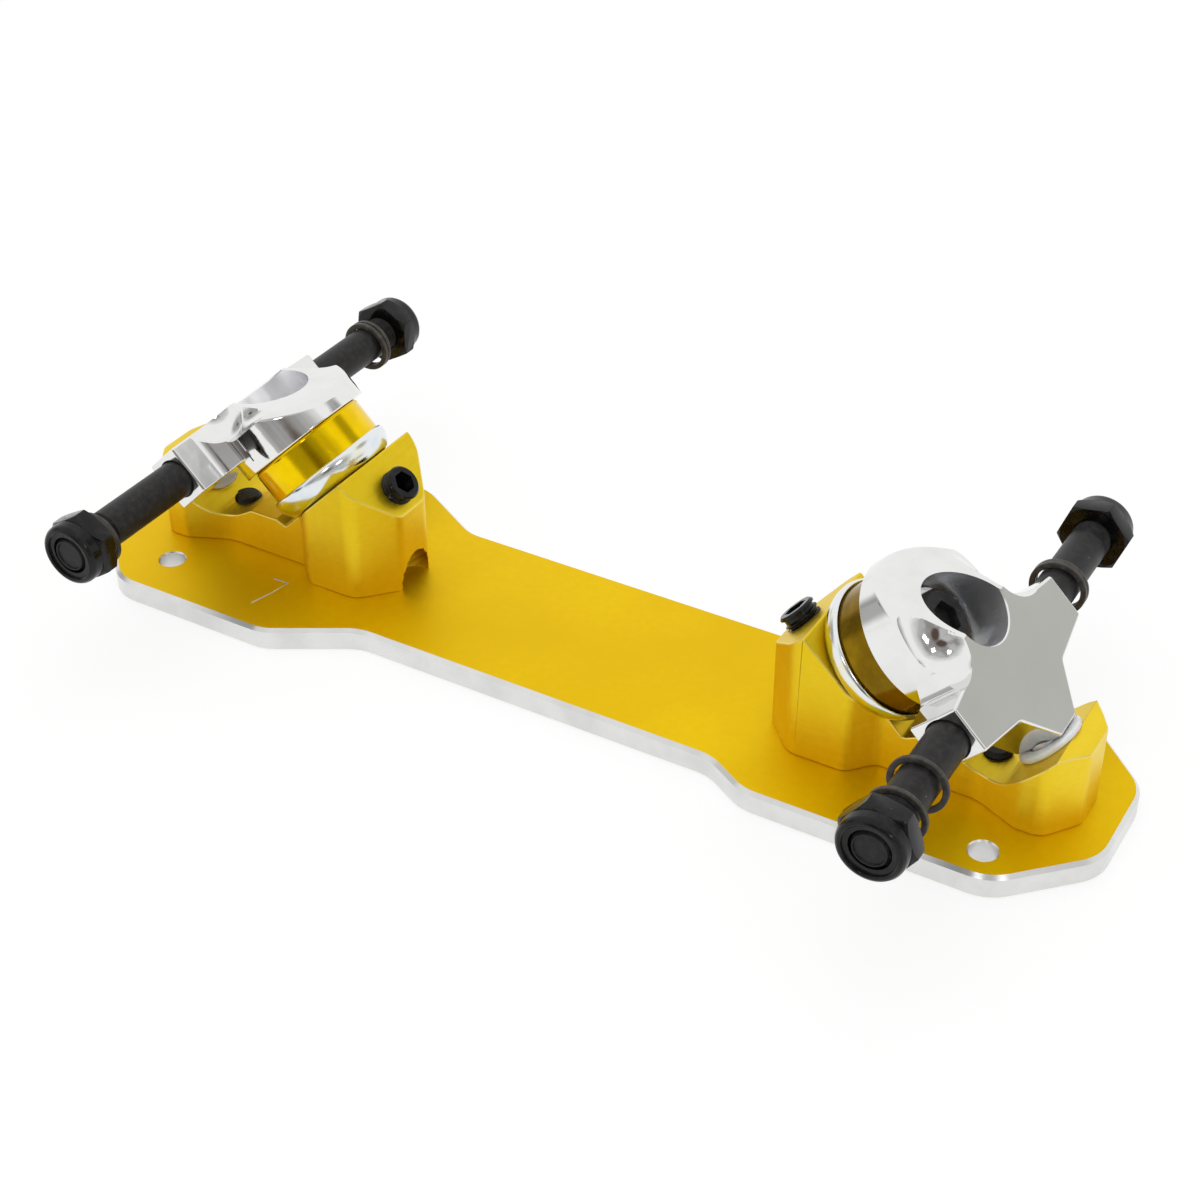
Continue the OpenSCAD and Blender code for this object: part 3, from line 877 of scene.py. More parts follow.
@dataclass(frozen=True)
class NaturalNylon(Finish):
    """Moulded nylon, milky white and softly glossy."""

    colour: Colour = (0.88, 0.9, 0.91)
    grey: Colour = (0.72, 0.73, 0.72)
    depth: float = 1.2

    def fill(self, shader: Shader) -> None:
        """Adds the clouds, the skin and the milky depth.

        Args:
            shader: The material\'s shader.
        """
        skin = shader.noise(0.35, 2)
        tone = shader.mix(shader.noise(3).span(0.4, 0.8), self.colour, self.grey)
        shader.surface(Base_Color=tone, Subsurface_Weight=0.4, Subsurface_Scale=self.depth * MM,
                       Roughness=0.34 + skin * 0.12, Normal=shader.bump(skin, 0.006))


def made(finish: Finish) -> Material:
    """A field that holds a finish's material."""
    return field(default_factory=finish.make)


@dataclass(frozen=True)
class Finishes:
    """Every finish on the object, made once."""

    plate: Material = made(AnodisedGold("gold_plate_face", (0.93, 0.645, 0.0015), (0.82, 0.54, 0.001)))
    block: Material = made(AnodisedGold("gold_block_wall", (0.9, 0.67, 0.035), (0.78, 0.55, 0.012),
                                        roughness=0.42, grain=0.2, cutter_lines=0.012))
    # Lighter, glossier gold for the block's bevels: partly edge wear, partly a painted edge highlight.
    worn: Material = made(AnodisedGold("gold_worn_edge", (0.9, 0.74, 0.24), (0.82, 0.62, 0.08),
                                       roughness=0.3))
    bare: Material = made(BareMachined("bare_machined_edge"))
    polished: Material = made(PolishedAlloy("polished_hanger"))
    satin: Material = made(SatinFace("satin_star_face"))
    bored: Material = made(SatinFace("bored_well_wall", (0.92, 0.92, 0.94)))
    oxide: Material = made(BlackOxide("black_oxide_shaft"))
    gloss: Material = made(GlossBlack("gloss_black_nut"))
    ring: Material = made(BlackOxide("dark_washer_ring", (0.05, 0.045, 0.04), (0.1, 0.09, 0.08),
                                     roughness=0.36, dust=0.1))
    zinc: Material = made(BrightZinc("zinc_cup"))
    urethane: Material = made(CastUrethane("gold_urethane"))
    # A darker copy of the gold urethane for the rear cushion: painted shade.
    amber: Material = made(CastUrethane("amber_urethane", (0.27, 0.16, 0.004), (0.17, 0.095, 0.003)))
    nylon: Material = made(NaturalNylon("milky_nylon"))


def fit(piece: Piece, slot: str, body: str, node: str, *materials: Material) -> None:
    """Hands a finished piece to the frame.

    Args:
        piece: The piece, in its place.
        slot: Not used.
        body: The CAD body that it rides on.
        node: The CAD node that it stands for.
        *materials: Its materials, where it has none yet.
    """
    Bench.dress(piece, *materials)
    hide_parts(node)
    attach(piece, body)
    log.info("%s rides on %s", piece.name, body)


def stand(model: Piece, name: str, place: Matrix, slot: str, body: str, node: str) -> None:
    """Hands a copy of a model to the frame, under a name of its own and in its place."""
    fit(Bench.place(Bench.copy(model, name), place), slot, body, node)


@dataclass(frozen=True)
class TruckFrame:
    """One truck's own axes: across it, up along the hanger's plane, and out along the kingpin."""

    end: End
    lean: float = 45.0
    kingpin_offset: float = 13.1
    centred: bool = False

    def node(self, part: str) -> str:
        """The name of one of this truck's parts."""
        return f"{self.end.label}_{part}"

    @property
    def body(self) -> str:
        """The CAD body that steers."""
        return self.node("truck")

    @property
    def level(self) -> Matrix:
        """Finds the truck's level axes.

        Returns:
            The place of the axle's centre, or the origin for a model, with X towards the plate's end.
        """
        if self.centred:
            return Matrix.Identity(4)
        low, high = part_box(self.node("axle"))
        return Matrix.Translation((low + high) / 2) @ turned(0 if self.end is End.FRONT else 180, "Z")

    @property
    def tilted(self) -> Matrix:
        """The place of the axle's centre, with Y along the hanger's plane and Z along the kingpin."""
        return self.level @ turned(90 - self.lean, "Y") @ turned(90, "Z")

    def kingpin(self, level: float = 0.0) -> Matrix:
        """A place on the kingpin's axis, with Z along it."""
        return self.tilted @ shift(0, self.kingpin_offset, level)

    def across(self, y: float, z: float, inward: bool) -> Matrix:
        """A place in the hanger's plane, with Z inward or outward along the plane."""
        return self.tilted @ shift(0, y, z) @ turned(-90 if inward else 90, "X")

    def axle(self, side: Side) -> Matrix:
        """The place of the axle's centre, with Z out to one side of the skate."""
        return self.level @ turned(-90 * side.value * self.end.value, "X")


@dataclass
class SolePlate:
    """The flat plate under the boot, with bare chamfered edges and its size cut into the toe."""

    finishes: Finishes
    length: float = 226.6
    thick: float = 5.2
    toe_w: float = 63.0
    waist_w: float = 42.7
    heel_w: float = 53.8
    toe_edge: float = 35.4
    heel_edge: float = 22.6
    toe_start: float = 61.0
    heel_start: float = 48.0
    flare: float = 30.0
    corner_r: float = 10.0
    bolt_at: Pair = (93.7, 20.1)
    bolt_r: float = 2.75
    screw_at: Pair = (87.75, 62.35)
    screw_r: float = 3.25
    screw_head_r: float = 5.95
    top_chamfer: float = 0.75
    sole_chamfer: float = 0.45
    hole_chamfer: float = 0.25
    mark_depth: float = 0.12
    mark_width: float = 0.36
    mark: tuple[Pair, ...] = ((69.9, 15.1), (66.4, 15.0), (67.2, 19.6), (68.6, 24.4))
    flat: float = 0.99

    def build(self) -> None:
        """Models the plate, with gold faces in its first slot and bare edges in its second."""
        top = self.thick
        piece = Bench.prism("plate_blank", rounded(mirrored(self._edge(), True)), 0, top)
        Bench.chamfer(piece, self.top_chamfer, above(top))
        Bench.chamfer(piece, self.sole_chamfer, below(0))
        tools = []
        for x in (-1, 1):
            tools += [self._drill((x * self.bolt_at[0], y * self.bolt_at[1]), self.bolt_r,
                                  self.bolt_r + self.hole_chamfer) for y in (-1, 1)]
            tools += [self._drill((x * reach, 0), self.screw_r, self.screw_head_r) for reach in self.screw_at]
        for start, end in pairwise(self.mark):
            run = Vector(end) - Vector(start)
            middle = (Vector(end) + Vector(start)) / 2
            tools.append(Bench.block("stroke", (*middle, top),
                                     (run.length + self.mark_width, self.mark_width, 2 * self.mark_depth),
                                     Matrix.Rotation(math.atan2(run.y, run.x), 4, "Z")))
        Bench.join(piece, Join.CUT, *tools)
        Bench.dress(piece, self.finishes.plate, self.finishes.bare)
        Bench.paint(piece, 1, lambda spot, normal: not (
            normal.z > self.flat and spot.z > (top - TOUCH) * MM
            or normal.z < -self.flat and spot.z < TOUCH * MM))
        Bench.smooth(piece, 20)
        fit(piece, "gold_plate", BASE, "sole_plate")

    def _edge(self) -> list[Point]:
        """Draws one edge of the plate.

        Returns:
            The outline's corners, heel first.
        """
        end, waist, slant = self.length / 2, self.waist_w / 2, math.tan(math.radians(self.flare))
        toe, heel = self.toe_w / 2, self.heel_w / 2
        spots = [(-end, self.heel_edge / 2), (-end + heel - self.heel_edge / 2, heel),
                 (-self.heel_start, heel), (-self.heel_start + (heel - waist) / slant, waist),
                 (self.toe_start - (toe - waist) / slant, waist), (self.toe_start, toe),
                 (end - toe + self.toe_edge / 2, toe), (end, self.toe_edge / 2)]
        return [(x, y, self.corner_r) for x, y in spots]

    def _drill(self, spot: Pair, r: float, foot_r: float) -> Piece:
        """Makes the drill for a hole through the plate.

        Args:
            spot: The hole's middle.
            r: Its radius.
            foot_r: The radius of its countersink in the sole face.

        Returns:
            The drill, in its place.
        """
        top, brk, past = self.thick, self.hole_chamfer, 1
        tool = Bench.lathe("drill", [(0, -past), (foot_r + past, -past), (r, foot_r - r), (r, top - brk),
                                     (r + brk + past, top + past), (0, top + past)])
        return Bench.place(tool, shift(*spot, 0))


@dataclass
class TruckBase:
    """Each truck's block, screwed to the plate, with the parts that are fixed in it."""

    trucks: Sequence[TruckFrame]
    finishes: Finishes
    axle_h: float = 24.7
    plate_t: float = 5.2
    inner: float = 42.6
    outer: float = 20.65
    boss_w: float = 25.3
    boss_len: float = 22.3
    inner_edge: float = 9.2
    outer_edge: float = 9.0
    pivot_w: float = 23.4
    pivot_len: float = 13.2
    pivot_h: float = 16.9
    saddle_w: float = 15.2
    crest_h: float = 9.5
    crest_len: float = 6.7
    notch_drop: float = 1.1
    notch_len: float = 2.5
    trough_slope: float = 31.0
    trough_r: float = 8.0
    lip_drop: float = 0.7
    kingpin_face: float = -21.5
    slant_face: float = 25.5
    edge: float = 0.3
    seam: float = 0.2
    kingpin_r: float = 5.0
    thread_depth: float = 0.55
    thread_pitch: float = 1.25
    tap_start: float = -19.0
    tap_end: float = -29.0
    worn_thread: float = 0.2
    through: float = 30.0
    lock_level: float = -29.4
    lock_r: float = 3.82
    screws: tuple[Pair, ...] = ((1.9, 13.0), (-23.5, 12.0))
    screw_r: float = 3.0
    screw_head_r: float = 5.7
    screw_pitch: float = 1.0
    screw_key: float = 4.0
    screw_socket: float = 2.4
    pivot_face: float = 16.9
    cup_r: float = 5.5
    cup_depth: float = 5.0
    cup_bottom: float = 0.8
    bore_r: float = 4.06
    flange_r: float = 6.7
    flange_t: float = 1.3
    flange_gap: float = 0.25
    slip: float = 0.02
    tip_gap: float = 0.2

    def build(self) -> None:
        """Models each truck's block, its screws and the pivot's cup."""
        block, screws, cup = self._block(), self._screws(), self._cup()
        for truck in self.trucks:
            node, level = truck.node, truck.level
            stand(block, node("block"), level, "gold_block", BASE, node("truck_base"))
            stand(screws, node("block_screws"), level, "black_steel", BASE, node("base_screws"))
            stand(cup, node("pivot_bush"), truck.across(-self.pivot_face, 0, False), "nylon", BASE,
                  node("pivot_cup"))
        Bench.drop(block, screws, cup)

    def _footprint(self) -> list[Point]:
        """Draws one edge of the block on the plate.

        Returns:
            The outline's corners, inner end first.
        """
        inner_cut, outer_cut = (self.boss_w - self.inner_edge) / 2, (self.pivot_w - self.outer_edge) / 2
        boss_end, pivot_start = -self.inner + self.boss_len, self.outer - self.pivot_len
        return [(-self.inner, self.inner_edge / 2, 3.5), (-self.inner + inner_cut * 0.9, self.boss_w / 2, 5),
                (boss_end - 3, self.boss_w / 2, 3), (boss_end + 1.5, self.saddle_w / 2, 3),
                (pivot_start - 6, self.saddle_w / 2, 10), (pivot_start + 3, self.pivot_w / 2, 4),
                (self.outer - outer_cut + 2, self.pivot_w / 2, 4), (self.outer, self.outer_edge / 2, 3)]

    def _profile(self) -> list[Point]:
        """Draws the block's side view, which runs past its sides and its foot.

        Returns:
            The outline's corners, from the foot of the inner end.
        """
        root = math.sqrt(0.5)

        def seen(along: float, across: float) -> Pair:
            """A point by its distances along the kingpin and along the hanger's plane."""
            return ((along - across) * root, (along + across) * root)

        def on_face(height: float) -> Pair:
            """The point of the kingpin's face at a height above the plate."""
            return seen(self.kingpin_face, (height - self.axle_h) / root - self.kingpin_face)

        def on_pivot(height: float) -> Pair:
            """The point of the pivot's face at a height above the plate."""
            return seen((height - self.axle_h) / root + self.pivot_face, -self.pivot_face)

        past = 3
        ridge = seen(self.kingpin_face, self.slant_face)
        notch, pivot = on_face(self.crest_h - self.notch_drop), on_pivot(self.pivot_h)
        slant = (-self.inner - past, ridge[1] - (self.inner + past + ridge[0]))
        crest = (notch[0] + self.notch_len, self.crest_h - self.axle_h)
        start = (crest[0] + self.crest_len, crest[1])
        fall, level = math.tan(math.radians(self.trough_slope)), on_pivot(0)[0]
        dip = (start[1] + self.axle_h + fall * start[0] + level) / (fall + 1)
        strip = (self.outer - pivot[0]) / 2
        lip = pivot[1] - self.lip_drop * (strip + past) / strip
        return [(slant[0], -self.axle_h - past, 0), (*slant, 0), (*ridge, 0.4), (*notch, 0.8), (*crest, 0.6),
                (*start, 0.6), (dip, dip - level - self.axle_h, self.trough_r), (*pivot, 0),
                (self.outer - strip, pivot[1], 0), (self.outer + past, lip, 0),
                (self.outer + past, -self.axle_h - past, 0)]

    def _block(self) -> Piece:
        """Models a block about the axle's centre.

        Returns:
            The block, with its edge bevels in its second slot, lighter and glossier as worn edges and as a
            painted edge highlight, and a fine break at the plate.
        """
        piece = Bench.prism("block", rounded(mirrored(self._footprint(), True)), -self.axle_h, self.axle_h)
        side = Bench.prism("side_view", rounded(self._profile(), 8), -self.boss_w, self.boss_w)
        Bench.join(piece, Join.KEEP, Bench.place(side, turned(90, "X")))
        Bench.dress(piece, self.finishes.block, self.finishes.worn)
        local, past, slack = TruckFrame(End.FRONT, centred=True), 1, 0.05
        pin, cup = local.kingpin(self.kingpin_face), local.across(-self.pivot_face, 0, False)
        holes = [
            (self.kingpin_r - self.thread_depth, -self.through, past, pin),
            (self.kingpin_r - self.worn_thread, -self.through, self.tap_start, pin),
            (self.cup_r + self.slip, -past, self.cup_depth, cup),
            (self.flange_r + self.flange_gap, -3 * past, 0, cup),
            (self.lock_r, 0, self.through, local.across(local.kingpin_offset, self.lock_level, True)),
            *[(self.screw_r + self.slip, -past, length - self.plate_t + self.tip_gap,
               shift(x, 0, -self.axle_h)) for x, length in self.screws]]
        tap = Bench.thread("tap", self.kingpin_r, self.thread_depth + slack, self.thread_pitch,
                           self.tap_end, past / 2)
        Bench.join(piece, Join.CUT, Bench.place(tap, pin), *[
            Bench.place(Bench.rod("drill", r, low, high, 64), place) for r, low, high, place in holes])
        walls = [(r, low, high, place.inverted()) for r, low, high, place in holes]
        crest = next(spot for spot in self._profile() if math.isclose(spot[1], self.pivot_h - self.axle_h))
        floor = (slack - self.axle_h) * MM

        def on_wall(spot: Vector) -> bool:
            """Whether a point lies on a hole's wall or in its thread."""
            return any(low - NEAR < seen.z < high + NEAR
                       and -slack < seen.xy.length - r < self.thread_depth + slack
                       for r, low, high, seen in [(*wall[:3], wall[3] @ spot / MM) for wall in walls])

        def on_crest(spot: Vector) -> bool:
            """Whether a point lies on the pivot boss's crest."""
            return math.hypot(spot.x / MM - crest[0], spot.z / MM - crest[1]) < 2 * TOUCH

        # The top edges' bevels take the second slot, a lighter gold that is part edge wear and part painted
        # highlight.
        Bench.chamfer(piece, self.edge, lambda a, b: max(a.z, b.z) > floor and not (
            on_wall(a) or on_wall(b) or on_crest(a) and on_crest(b)), 3, 34, 1)
        Bench.chamfer(piece, self.seam, lambda a, b: max(a.z, b.z) < floor and not (on_wall(a) or on_wall(b)),
                      sharp=60)
        Bench.smooth(piece, 38, flats=True)
        return piece

    def _screws(self) -> Piece:
        """Models the two screws that hold a block: countersunk, with key sockets and threads.

        Returns:
            The screws, about the axle's centre.
        """
        head, core = self.screw_head_r - self.screw_r, self.screw_r - 0.3
        made_screws = []
        for x, length in self.screws:
            screw = Bench.lathe("screw", [
                (0, 0), (self.screw_head_r - 0.2, 0), (self.screw_head_r, 0.2), (core, head + 0.3),
                (core, length - 0.5), (core - 0.4, length), (0, length)], 64)
            turns = Bench.thread("turns", self.screw_r, 0.38, self.screw_pitch, head + 0.2, length)
            Bench.join(screw, Join.ADD, turns)
            Bench.join(screw, Join.CUT, Bench.hexagon("key", self.screw_key, -1, self.screw_socket))
            made_screws.append(Bench.place(screw, shift(x, 0, -self.axle_h - self.plate_t)))
        piece = Bench.bundle(made_screws)
        Bench.dress(piece, self.finishes.oxide)
        Bench.smooth(piece, 30)
        return piece

    def _cup(self) -> Piece:
        """Models the nylon cup that a hanger's pivot turns in.

        Returns:
            The cup, with its flange under the origin.
        """
        floor = self.cup_depth - self.cup_bottom
        piece = Bench.lathe("cup", [
            (0, self.cup_depth), (self.cup_r - 0.4, self.cup_depth), (self.cup_r, self.cup_depth - 0.4),
            (self.cup_r, 0), (self.flange_r, 0), (self.flange_r, -self.flange_t),
            (self.bore_r, -self.flange_t), (self.bore_r, floor), (0, floor)])
        Bench.soften(piece, 0.5, 4, 60)
        Bench.dress(piece, self.finishes.nylon)
        Bench.smooth(piece)
        return piece


@dataclass
class KingpinStack:
    """What stands on a kingpin, by levels along it counted from the axle's centre."""

    truck: TruckFrame
    finishes: Finishes
    face: float = -21.5
    cushion_low: float = -20.0
    cushion_high: float = -9.3
    cushion_r: float = 13.2
    cushion_held: float = 3.0
    hole_r: float = 4.25
    rim_r: float = 14.15
    rim_high: float = -16.6
    well_floor: float = -7.3
    top_cushion_r: float = 7.0
    washer_low: float = -5.3
    washer_high: float = -4.5
    washer_r: float = 7.1
    head_high: float = -2.0
    head_r: float = 6.0
    shank_r: float = 4.0
    thread_r: float = 4.95
    thread_depth: float = 0.6
    thread_pitch: float = 1.25
    tail: float = -36.0
    key: float = 6.0
    lock_level: float = -29.4
    lock_start: float = 18.1
    lock_len: float = 10.4
    lock_r: float = 3.8
    lock_depth: float = 0.5
    lock_pitch: float = 1.0
    lock_key: float = 4.3

    def build(self) -> None:
        """Models the kingpin, its lock screw, both cushions and their washers."""
        self._kingpin()
        self._lock_screw()
        self._cup_washer()
        self._cushion("bushing", "cushion", self.cushion_r, (self.cushion_low, self.cushion_high), 12,
                      (self.cushion_low + self.cushion_held, self.cushion_high))
        self._cushion("top_bushing", "top_cushion", self.top_cushion_r,
                      (self.well_floor, self.washer_low), 4, (self.washer_low, self.well_floor))
        self._top_washer()

    def _kingpin(self) -> None:
        """Models the kingpin: a socket head, a plain shank and a thread."""
        piece = Bench.lathe(self.truck.node("kingpin_bolt"), [
            (0, self.tail), (self.shank_r - 0.3, self.tail), (self.shank_r, self.tail + 0.5),
            (self.shank_r, self.washer_high), (self.head_r, self.washer_high),
            (self.head_r, self.head_high - 0.6), (self.head_r - 0.6, self.head_high), (0, self.head_high)])
        turns = Bench.thread("turns", self.thread_r, self.thread_depth, self.thread_pitch, self.tail + 0.3,
                             self.face)
        Bench.join(piece, Join.ADD, turns)
        socket = Bench.hexagon("key", self.key, self.washer_high + 0.5, self.head_high + 1)
        Bench.join(piece, Join.CUT, socket)
        Bench.place(piece, self.truck.kingpin())
        Bench.smooth(piece, 30)
        fit(piece, "black_steel", BASE, self.truck.node("kingpin"), self.finishes.oxide)

    def _lock_screw(self) -> None:
        """Models the set screw that holds the kingpin: threaded, with a socket in its proud end."""
        r, end = self.lock_r, self.lock_len
        piece = Bench.lathe(self.truck.node("grub_screw"), [
            (0, 0), (r - 1, 0), (r - 0.5, 0.5), (r - 0.5, end - 0.9), (r, end - 0.7), (r, end - 0.4),
            (r - 0.4, end), (0, end)])
        turns = Bench.thread("turns", r, self.lock_depth, self.lock_pitch, 0.2, end - 0.3)
        Bench.join(piece, Join.ADD, turns)
        Bench.join(piece, Join.CUT, Bench.hexagon("key", self.lock_key, end * 0.55, end + 1))
        Bench.soften(piece, 0.12, 2, 50)
        Bench.place(piece, self.truck.across(self.lock_start, self.lock_level, True))
        Bench.smooth(piece, 30)
        fit(piece, "black_steel", BASE, self.truck.node("kingpin_lock_screw"), self.finishes.gloss)

    def _cup_washer(self) -> None:
        """Models the dished washer under the cushion, with a rolled rim."""
        r, low, high, hole = self.rim_r, self.face, self.rim_high, self.hole_r
        wall, floor = self.cushion_r + 0.02, self.cushion_low
        piece = Bench.lathe(self.truck.node("cup_washer"), [
            (hole, low), (r - 2.6, low), (r - 1.5, low + 0.5), (r - 0.75, low + 1.5), (r - 0.2, low + 2.7),
            (r, low + 3.6), (r - 0.05, high - 0.6), (r - 0.25, high - 0.15), (r - 0.55, high),
            (self.cushion_r + 0.1, high - 0.2), (wall, high - 0.8), (wall, floor), (hole, floor),
            (hole, low)], 128)
        Bench.place(piece, self.truck.kingpin())
        Bench.smooth(piece, 40)
        fit(piece, "zinc", BASE, self.truck.node("cushion_washer"), self.finishes.zinc)

    def _cushion(self, name: str, node: str, r: float, reach: Pair, rings: int, held: Pair) -> None:
        """Models a cushion as a ring between the base and the hanger.

        Args:
            name: The piece's name on its truck.
            node: The CAD node that it stands for.
            r: Its outside radius.
            reach: Its low and its high level.
            rings: Faces from level to level.
            held: The level at which the base holds it, and that at which the hanger does.
        """
        low, high = reach
        levels = [low + (high - low) * i / rings for i in range(rings + 1)]
        piece = Bench.lathe(self.truck.node(name), [
            (self.hole_r, low), (r - 0.5, low), (r - 0.12, low + 0.15), (r, low + 0.5),
            *[(r, level) for level in levels[1:-1]],
            (r, levels[-1] - 0.5), (r - 0.12, levels[-1] - 0.15), (r - 0.5, levels[-1]),
            *[(self.hole_r, level) for level in reversed(levels)]], 128)
        axis = self.truck.kingpin()
        Bench.place(piece, axis)
        Bench.smooth(piece, 50)
        front = self.truck.end is End.FRONT
        # The rear cushion takes the darker copy of the urethane, which is painted shade.
        Bench.dress(piece, self.finishes.urethane if front else self.finishes.amber)
        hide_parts(self.truck.node(node))
        start, end = (axis @ Vector((0, 0, level * MM)) for level in held)
        self.truck.body
        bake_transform(piece)
        log.info("%s bends between %s and %s", piece.name, BASE, self.truck.body)

    def _top_washer(self) -> None:
        """Models the flat washer under the kingpin's head."""
        piece = Bench.ring(self.truck.node("flat_washer"), self.hole_r, self.washer_r, self.washer_low,
                           self.washer_high)
        Bench.soften(piece, 0.15)
        Bench.place(piece, self.truck.kingpin())
        Bench.smooth(piece)
        fit(piece, "zinc", BASE, self.truck.node("top_washer"), self.finishes.zinc)


@dataclass
class Hanger:
    """The polished casting that carries the axle and steers on the kingpin and the pivot."""

    trucks: Sequence[TruckFrame]
    finishes: Finishes
    width: float = 47.0
    arm_w: float = 9.4
    under: float = -5.5
    face: float = 5.4
    pivot_w: float = 7.3
    throat: Pair = (10.6, -7.0)
    ring_at: float = 13.1
    ring_r: float = 15.2
    ring_low: float = -9.3
    well_r: float = 8.25
    well_floor: float = -7.3
    floor_hole_r: float = 5.75
    slope: float = 32.0
    slope_lead: float = 2.1
    scoop_r: float = 8.0
    scoop_out: float = 16.9
    scoop_rise: float = 6.5
    scoop_sweep: float = 38.0
    stub_r: float = 4.0
    stub_root: float = 11.2
    stub_tip: float = 20.7
    stub_taper: float = 1.2
    shoulder: float = 15.2
    bore_r: float = 4.02
    face_edge: float = 0.45
    edge: float = 0.35
    rim: float = 0.3
    shoulder_r: float = 1.4
    level_face: float = 0.9995
    upright: float = 0.4

    def build(self) -> None:
        """Models a hanger, buffed with a satin face and a bored well, and places one at each end."""
        model = self._casting()
        Bench.dress(model, self.finishes.polished, self.finishes.satin, self.finishes.bored)
        axis = Vector((0, self.ring_at * MM))
        Bench.paint(model, 1, lambda spot, normal: normal.z > self.level_face
                    and spot.z > (self.face - TOUCH) * MM)
        Bench.paint(model, 2, lambda spot, normal: abs(normal.z) < self.upright
                    and (spot.xy - axis).length < (self.well_r + TOUCH) * MM)
        Bench.smooth(model, 38, flats=True)
        for truck in self.trucks:
            stand(model, truck.node("hanger_star"), truck.tilted, "polished_alloy", truck.body,
                  truck.node("hanger"))
        Bench.drop(model)

    def _star(self) -> list[Point]:
        """Draws one side of the arms.

        Returns:
            The outline's corners, pivot arm first.
        """
        end = self.width / 2
        return [(self.pivot_w / 2, -self.shoulder, 0.8), (*self.throat, 2), (end, -self.arm_w / 2, 0.6),
                (end, self.arm_w / 2, 0.6), (self.ring_r + 1.8, self.arm_w / 2 + 1, 3),
                (self.ring_r - 1.2, self.ring_at - 3, 0)]

    def _casting(self) -> Piece:
        """Models a hanger: arms, ring and stub, cut by the well, the axle's bore and the scoops.

        Returns:
            The hanger about the axle's centre, with Y along its plane and Z along the kingpin.
        """
        top, low = self.face, self.ring_low
        piece = Bench.prism("hanger", rounded(mirrored(self._star(), False)), self.under, top)
        Bench.chamfer(piece, self.face_edge, above(top), 3)
        Bench.chamfer(piece, self.edge, below(self.under), 2)
        slope = shift(0, self.ring_at - self.slope_lead, top) @ turned(-self.slope, "X")
        back = slope.inverted()

        def on_slope(spot: Vector) -> bool:
            """Whether a point lies on the ring's slope."""
            return abs((back @ spot).z) < TOUCH / 2 * MM

        ring = self._on_kingpin(Bench.lathe("ring", rounded([
            (0, low, 0), (self.ring_r, low, self.edge), (self.ring_r, top, self.edge), (0, top, 0)], 5), 160))
        Bench.join(ring, Join.CUT, Bench.place(Bench.block("slab", (0, 20, 40), (80, 90, 80)), slope))
        Bench.chamfer(ring, self.shoulder_r, lambda a, b: on_slope(a) and on_slope(b)
                      and max(a.z, b.z) < (top - 0.5) * MM, 6, 25)
        tip = self.stub_tip - self.stub_root
        stub = Bench.lathe("stub", [(0, 0), (self.stub_r, 0), (self.stub_r, tip - self.stub_taper),
                                    (self.stub_r - self.stub_taper, tip), (0, tip)])
        Bench.place(stub, Matrix.Translation((0, -self.stub_root * MM, 0)) @ turned(90, "X"))
        Bench.bundle([piece, ring, stub])
        lip = self.well_r + self.rim
        well = Bench.lathe("well", [
            (0, self.well_floor), (self.well_r - 0.6, self.well_floor), (self.well_r, self.well_floor + 0.6),
            (self.well_r, top - self.rim + 0.05), (lip, top + 0.05), (lip, 30), (0, 30)], 128)
        hole = Bench.rod("hole", self.floor_hole_r, low - 1, 0)
        end, wide = self.width / 2, self.bore_r + self.edge
        bore = Bench.lathe("bore", [(0, -40), (wide, -40), (wide, -end), (self.bore_r, self.edge - end),
                                    (self.bore_r, end - self.edge), (wide, end), (wide, 40), (0, 40)])
        Bench.place(bore, turned(90, "Y"))
        Bench.join(piece, Join.CUT, self._on_kingpin(well), self._on_kingpin(hole), bore,
                   *self._scoop(-1), *self._scoop(1))
        return piece

    def _on_kingpin(self, tool: Piece) -> Piece:
        """Moves a tool from the Z axis to the kingpin's axis."""
        return Bench.place(tool, Matrix.Translation((0, self.ring_at * MM, 0)))

    def _scoop(self, side: int) -> list[Piece]:
        """Makes the path of a ball-ended cutter along one flank of the ring.

        Args:
            side: One or minus one, for the flank.

        Returns:
            The path and the balls at its ends, in the hanger's own axes.
        """
        sweep, faces = math.radians(self.scoop_sweep), 72
        ends = []
        for turn in (0.0, sweep):
            Bench.clear()
            spot = Vector((side * self.scoop_out * math.cos(turn),
                           self.ring_at + self.scoop_out * math.sin(turn), self.scoop_rise)) * MM
            bpy.ops.mesh.primitive_uv_sphere_add(segments=faces, ring_count=faces // 2,
                                                 radius=(self.scoop_r - TOUCH) * MM, location=spot)
            ends.append(Bench.settle(Bench.named("ball")))
        Bench.clear()
        bpy.ops.mesh.primitive_circle_add(vertices=faces, radius=self.scoop_r * MM, fill_type="NGON",
                                          location=Vector((side * self.scoop_out, 0, 0)) * MM,
                                          rotation=(math.pi / 2, 0, 0))
        path = Bench.settle(Bench.named("path"))
        Bench.hold(path, editing=True)
        bpy.ops.mesh.spin(steps=16, angle=-side * sweep, center=(0, 0, 0), axis=(0, 0, 1))
        Bench.weld(path)
        Bench.place(path, shift(0, self.ring_at, self.scoop_rise))
        return [path, *ends]


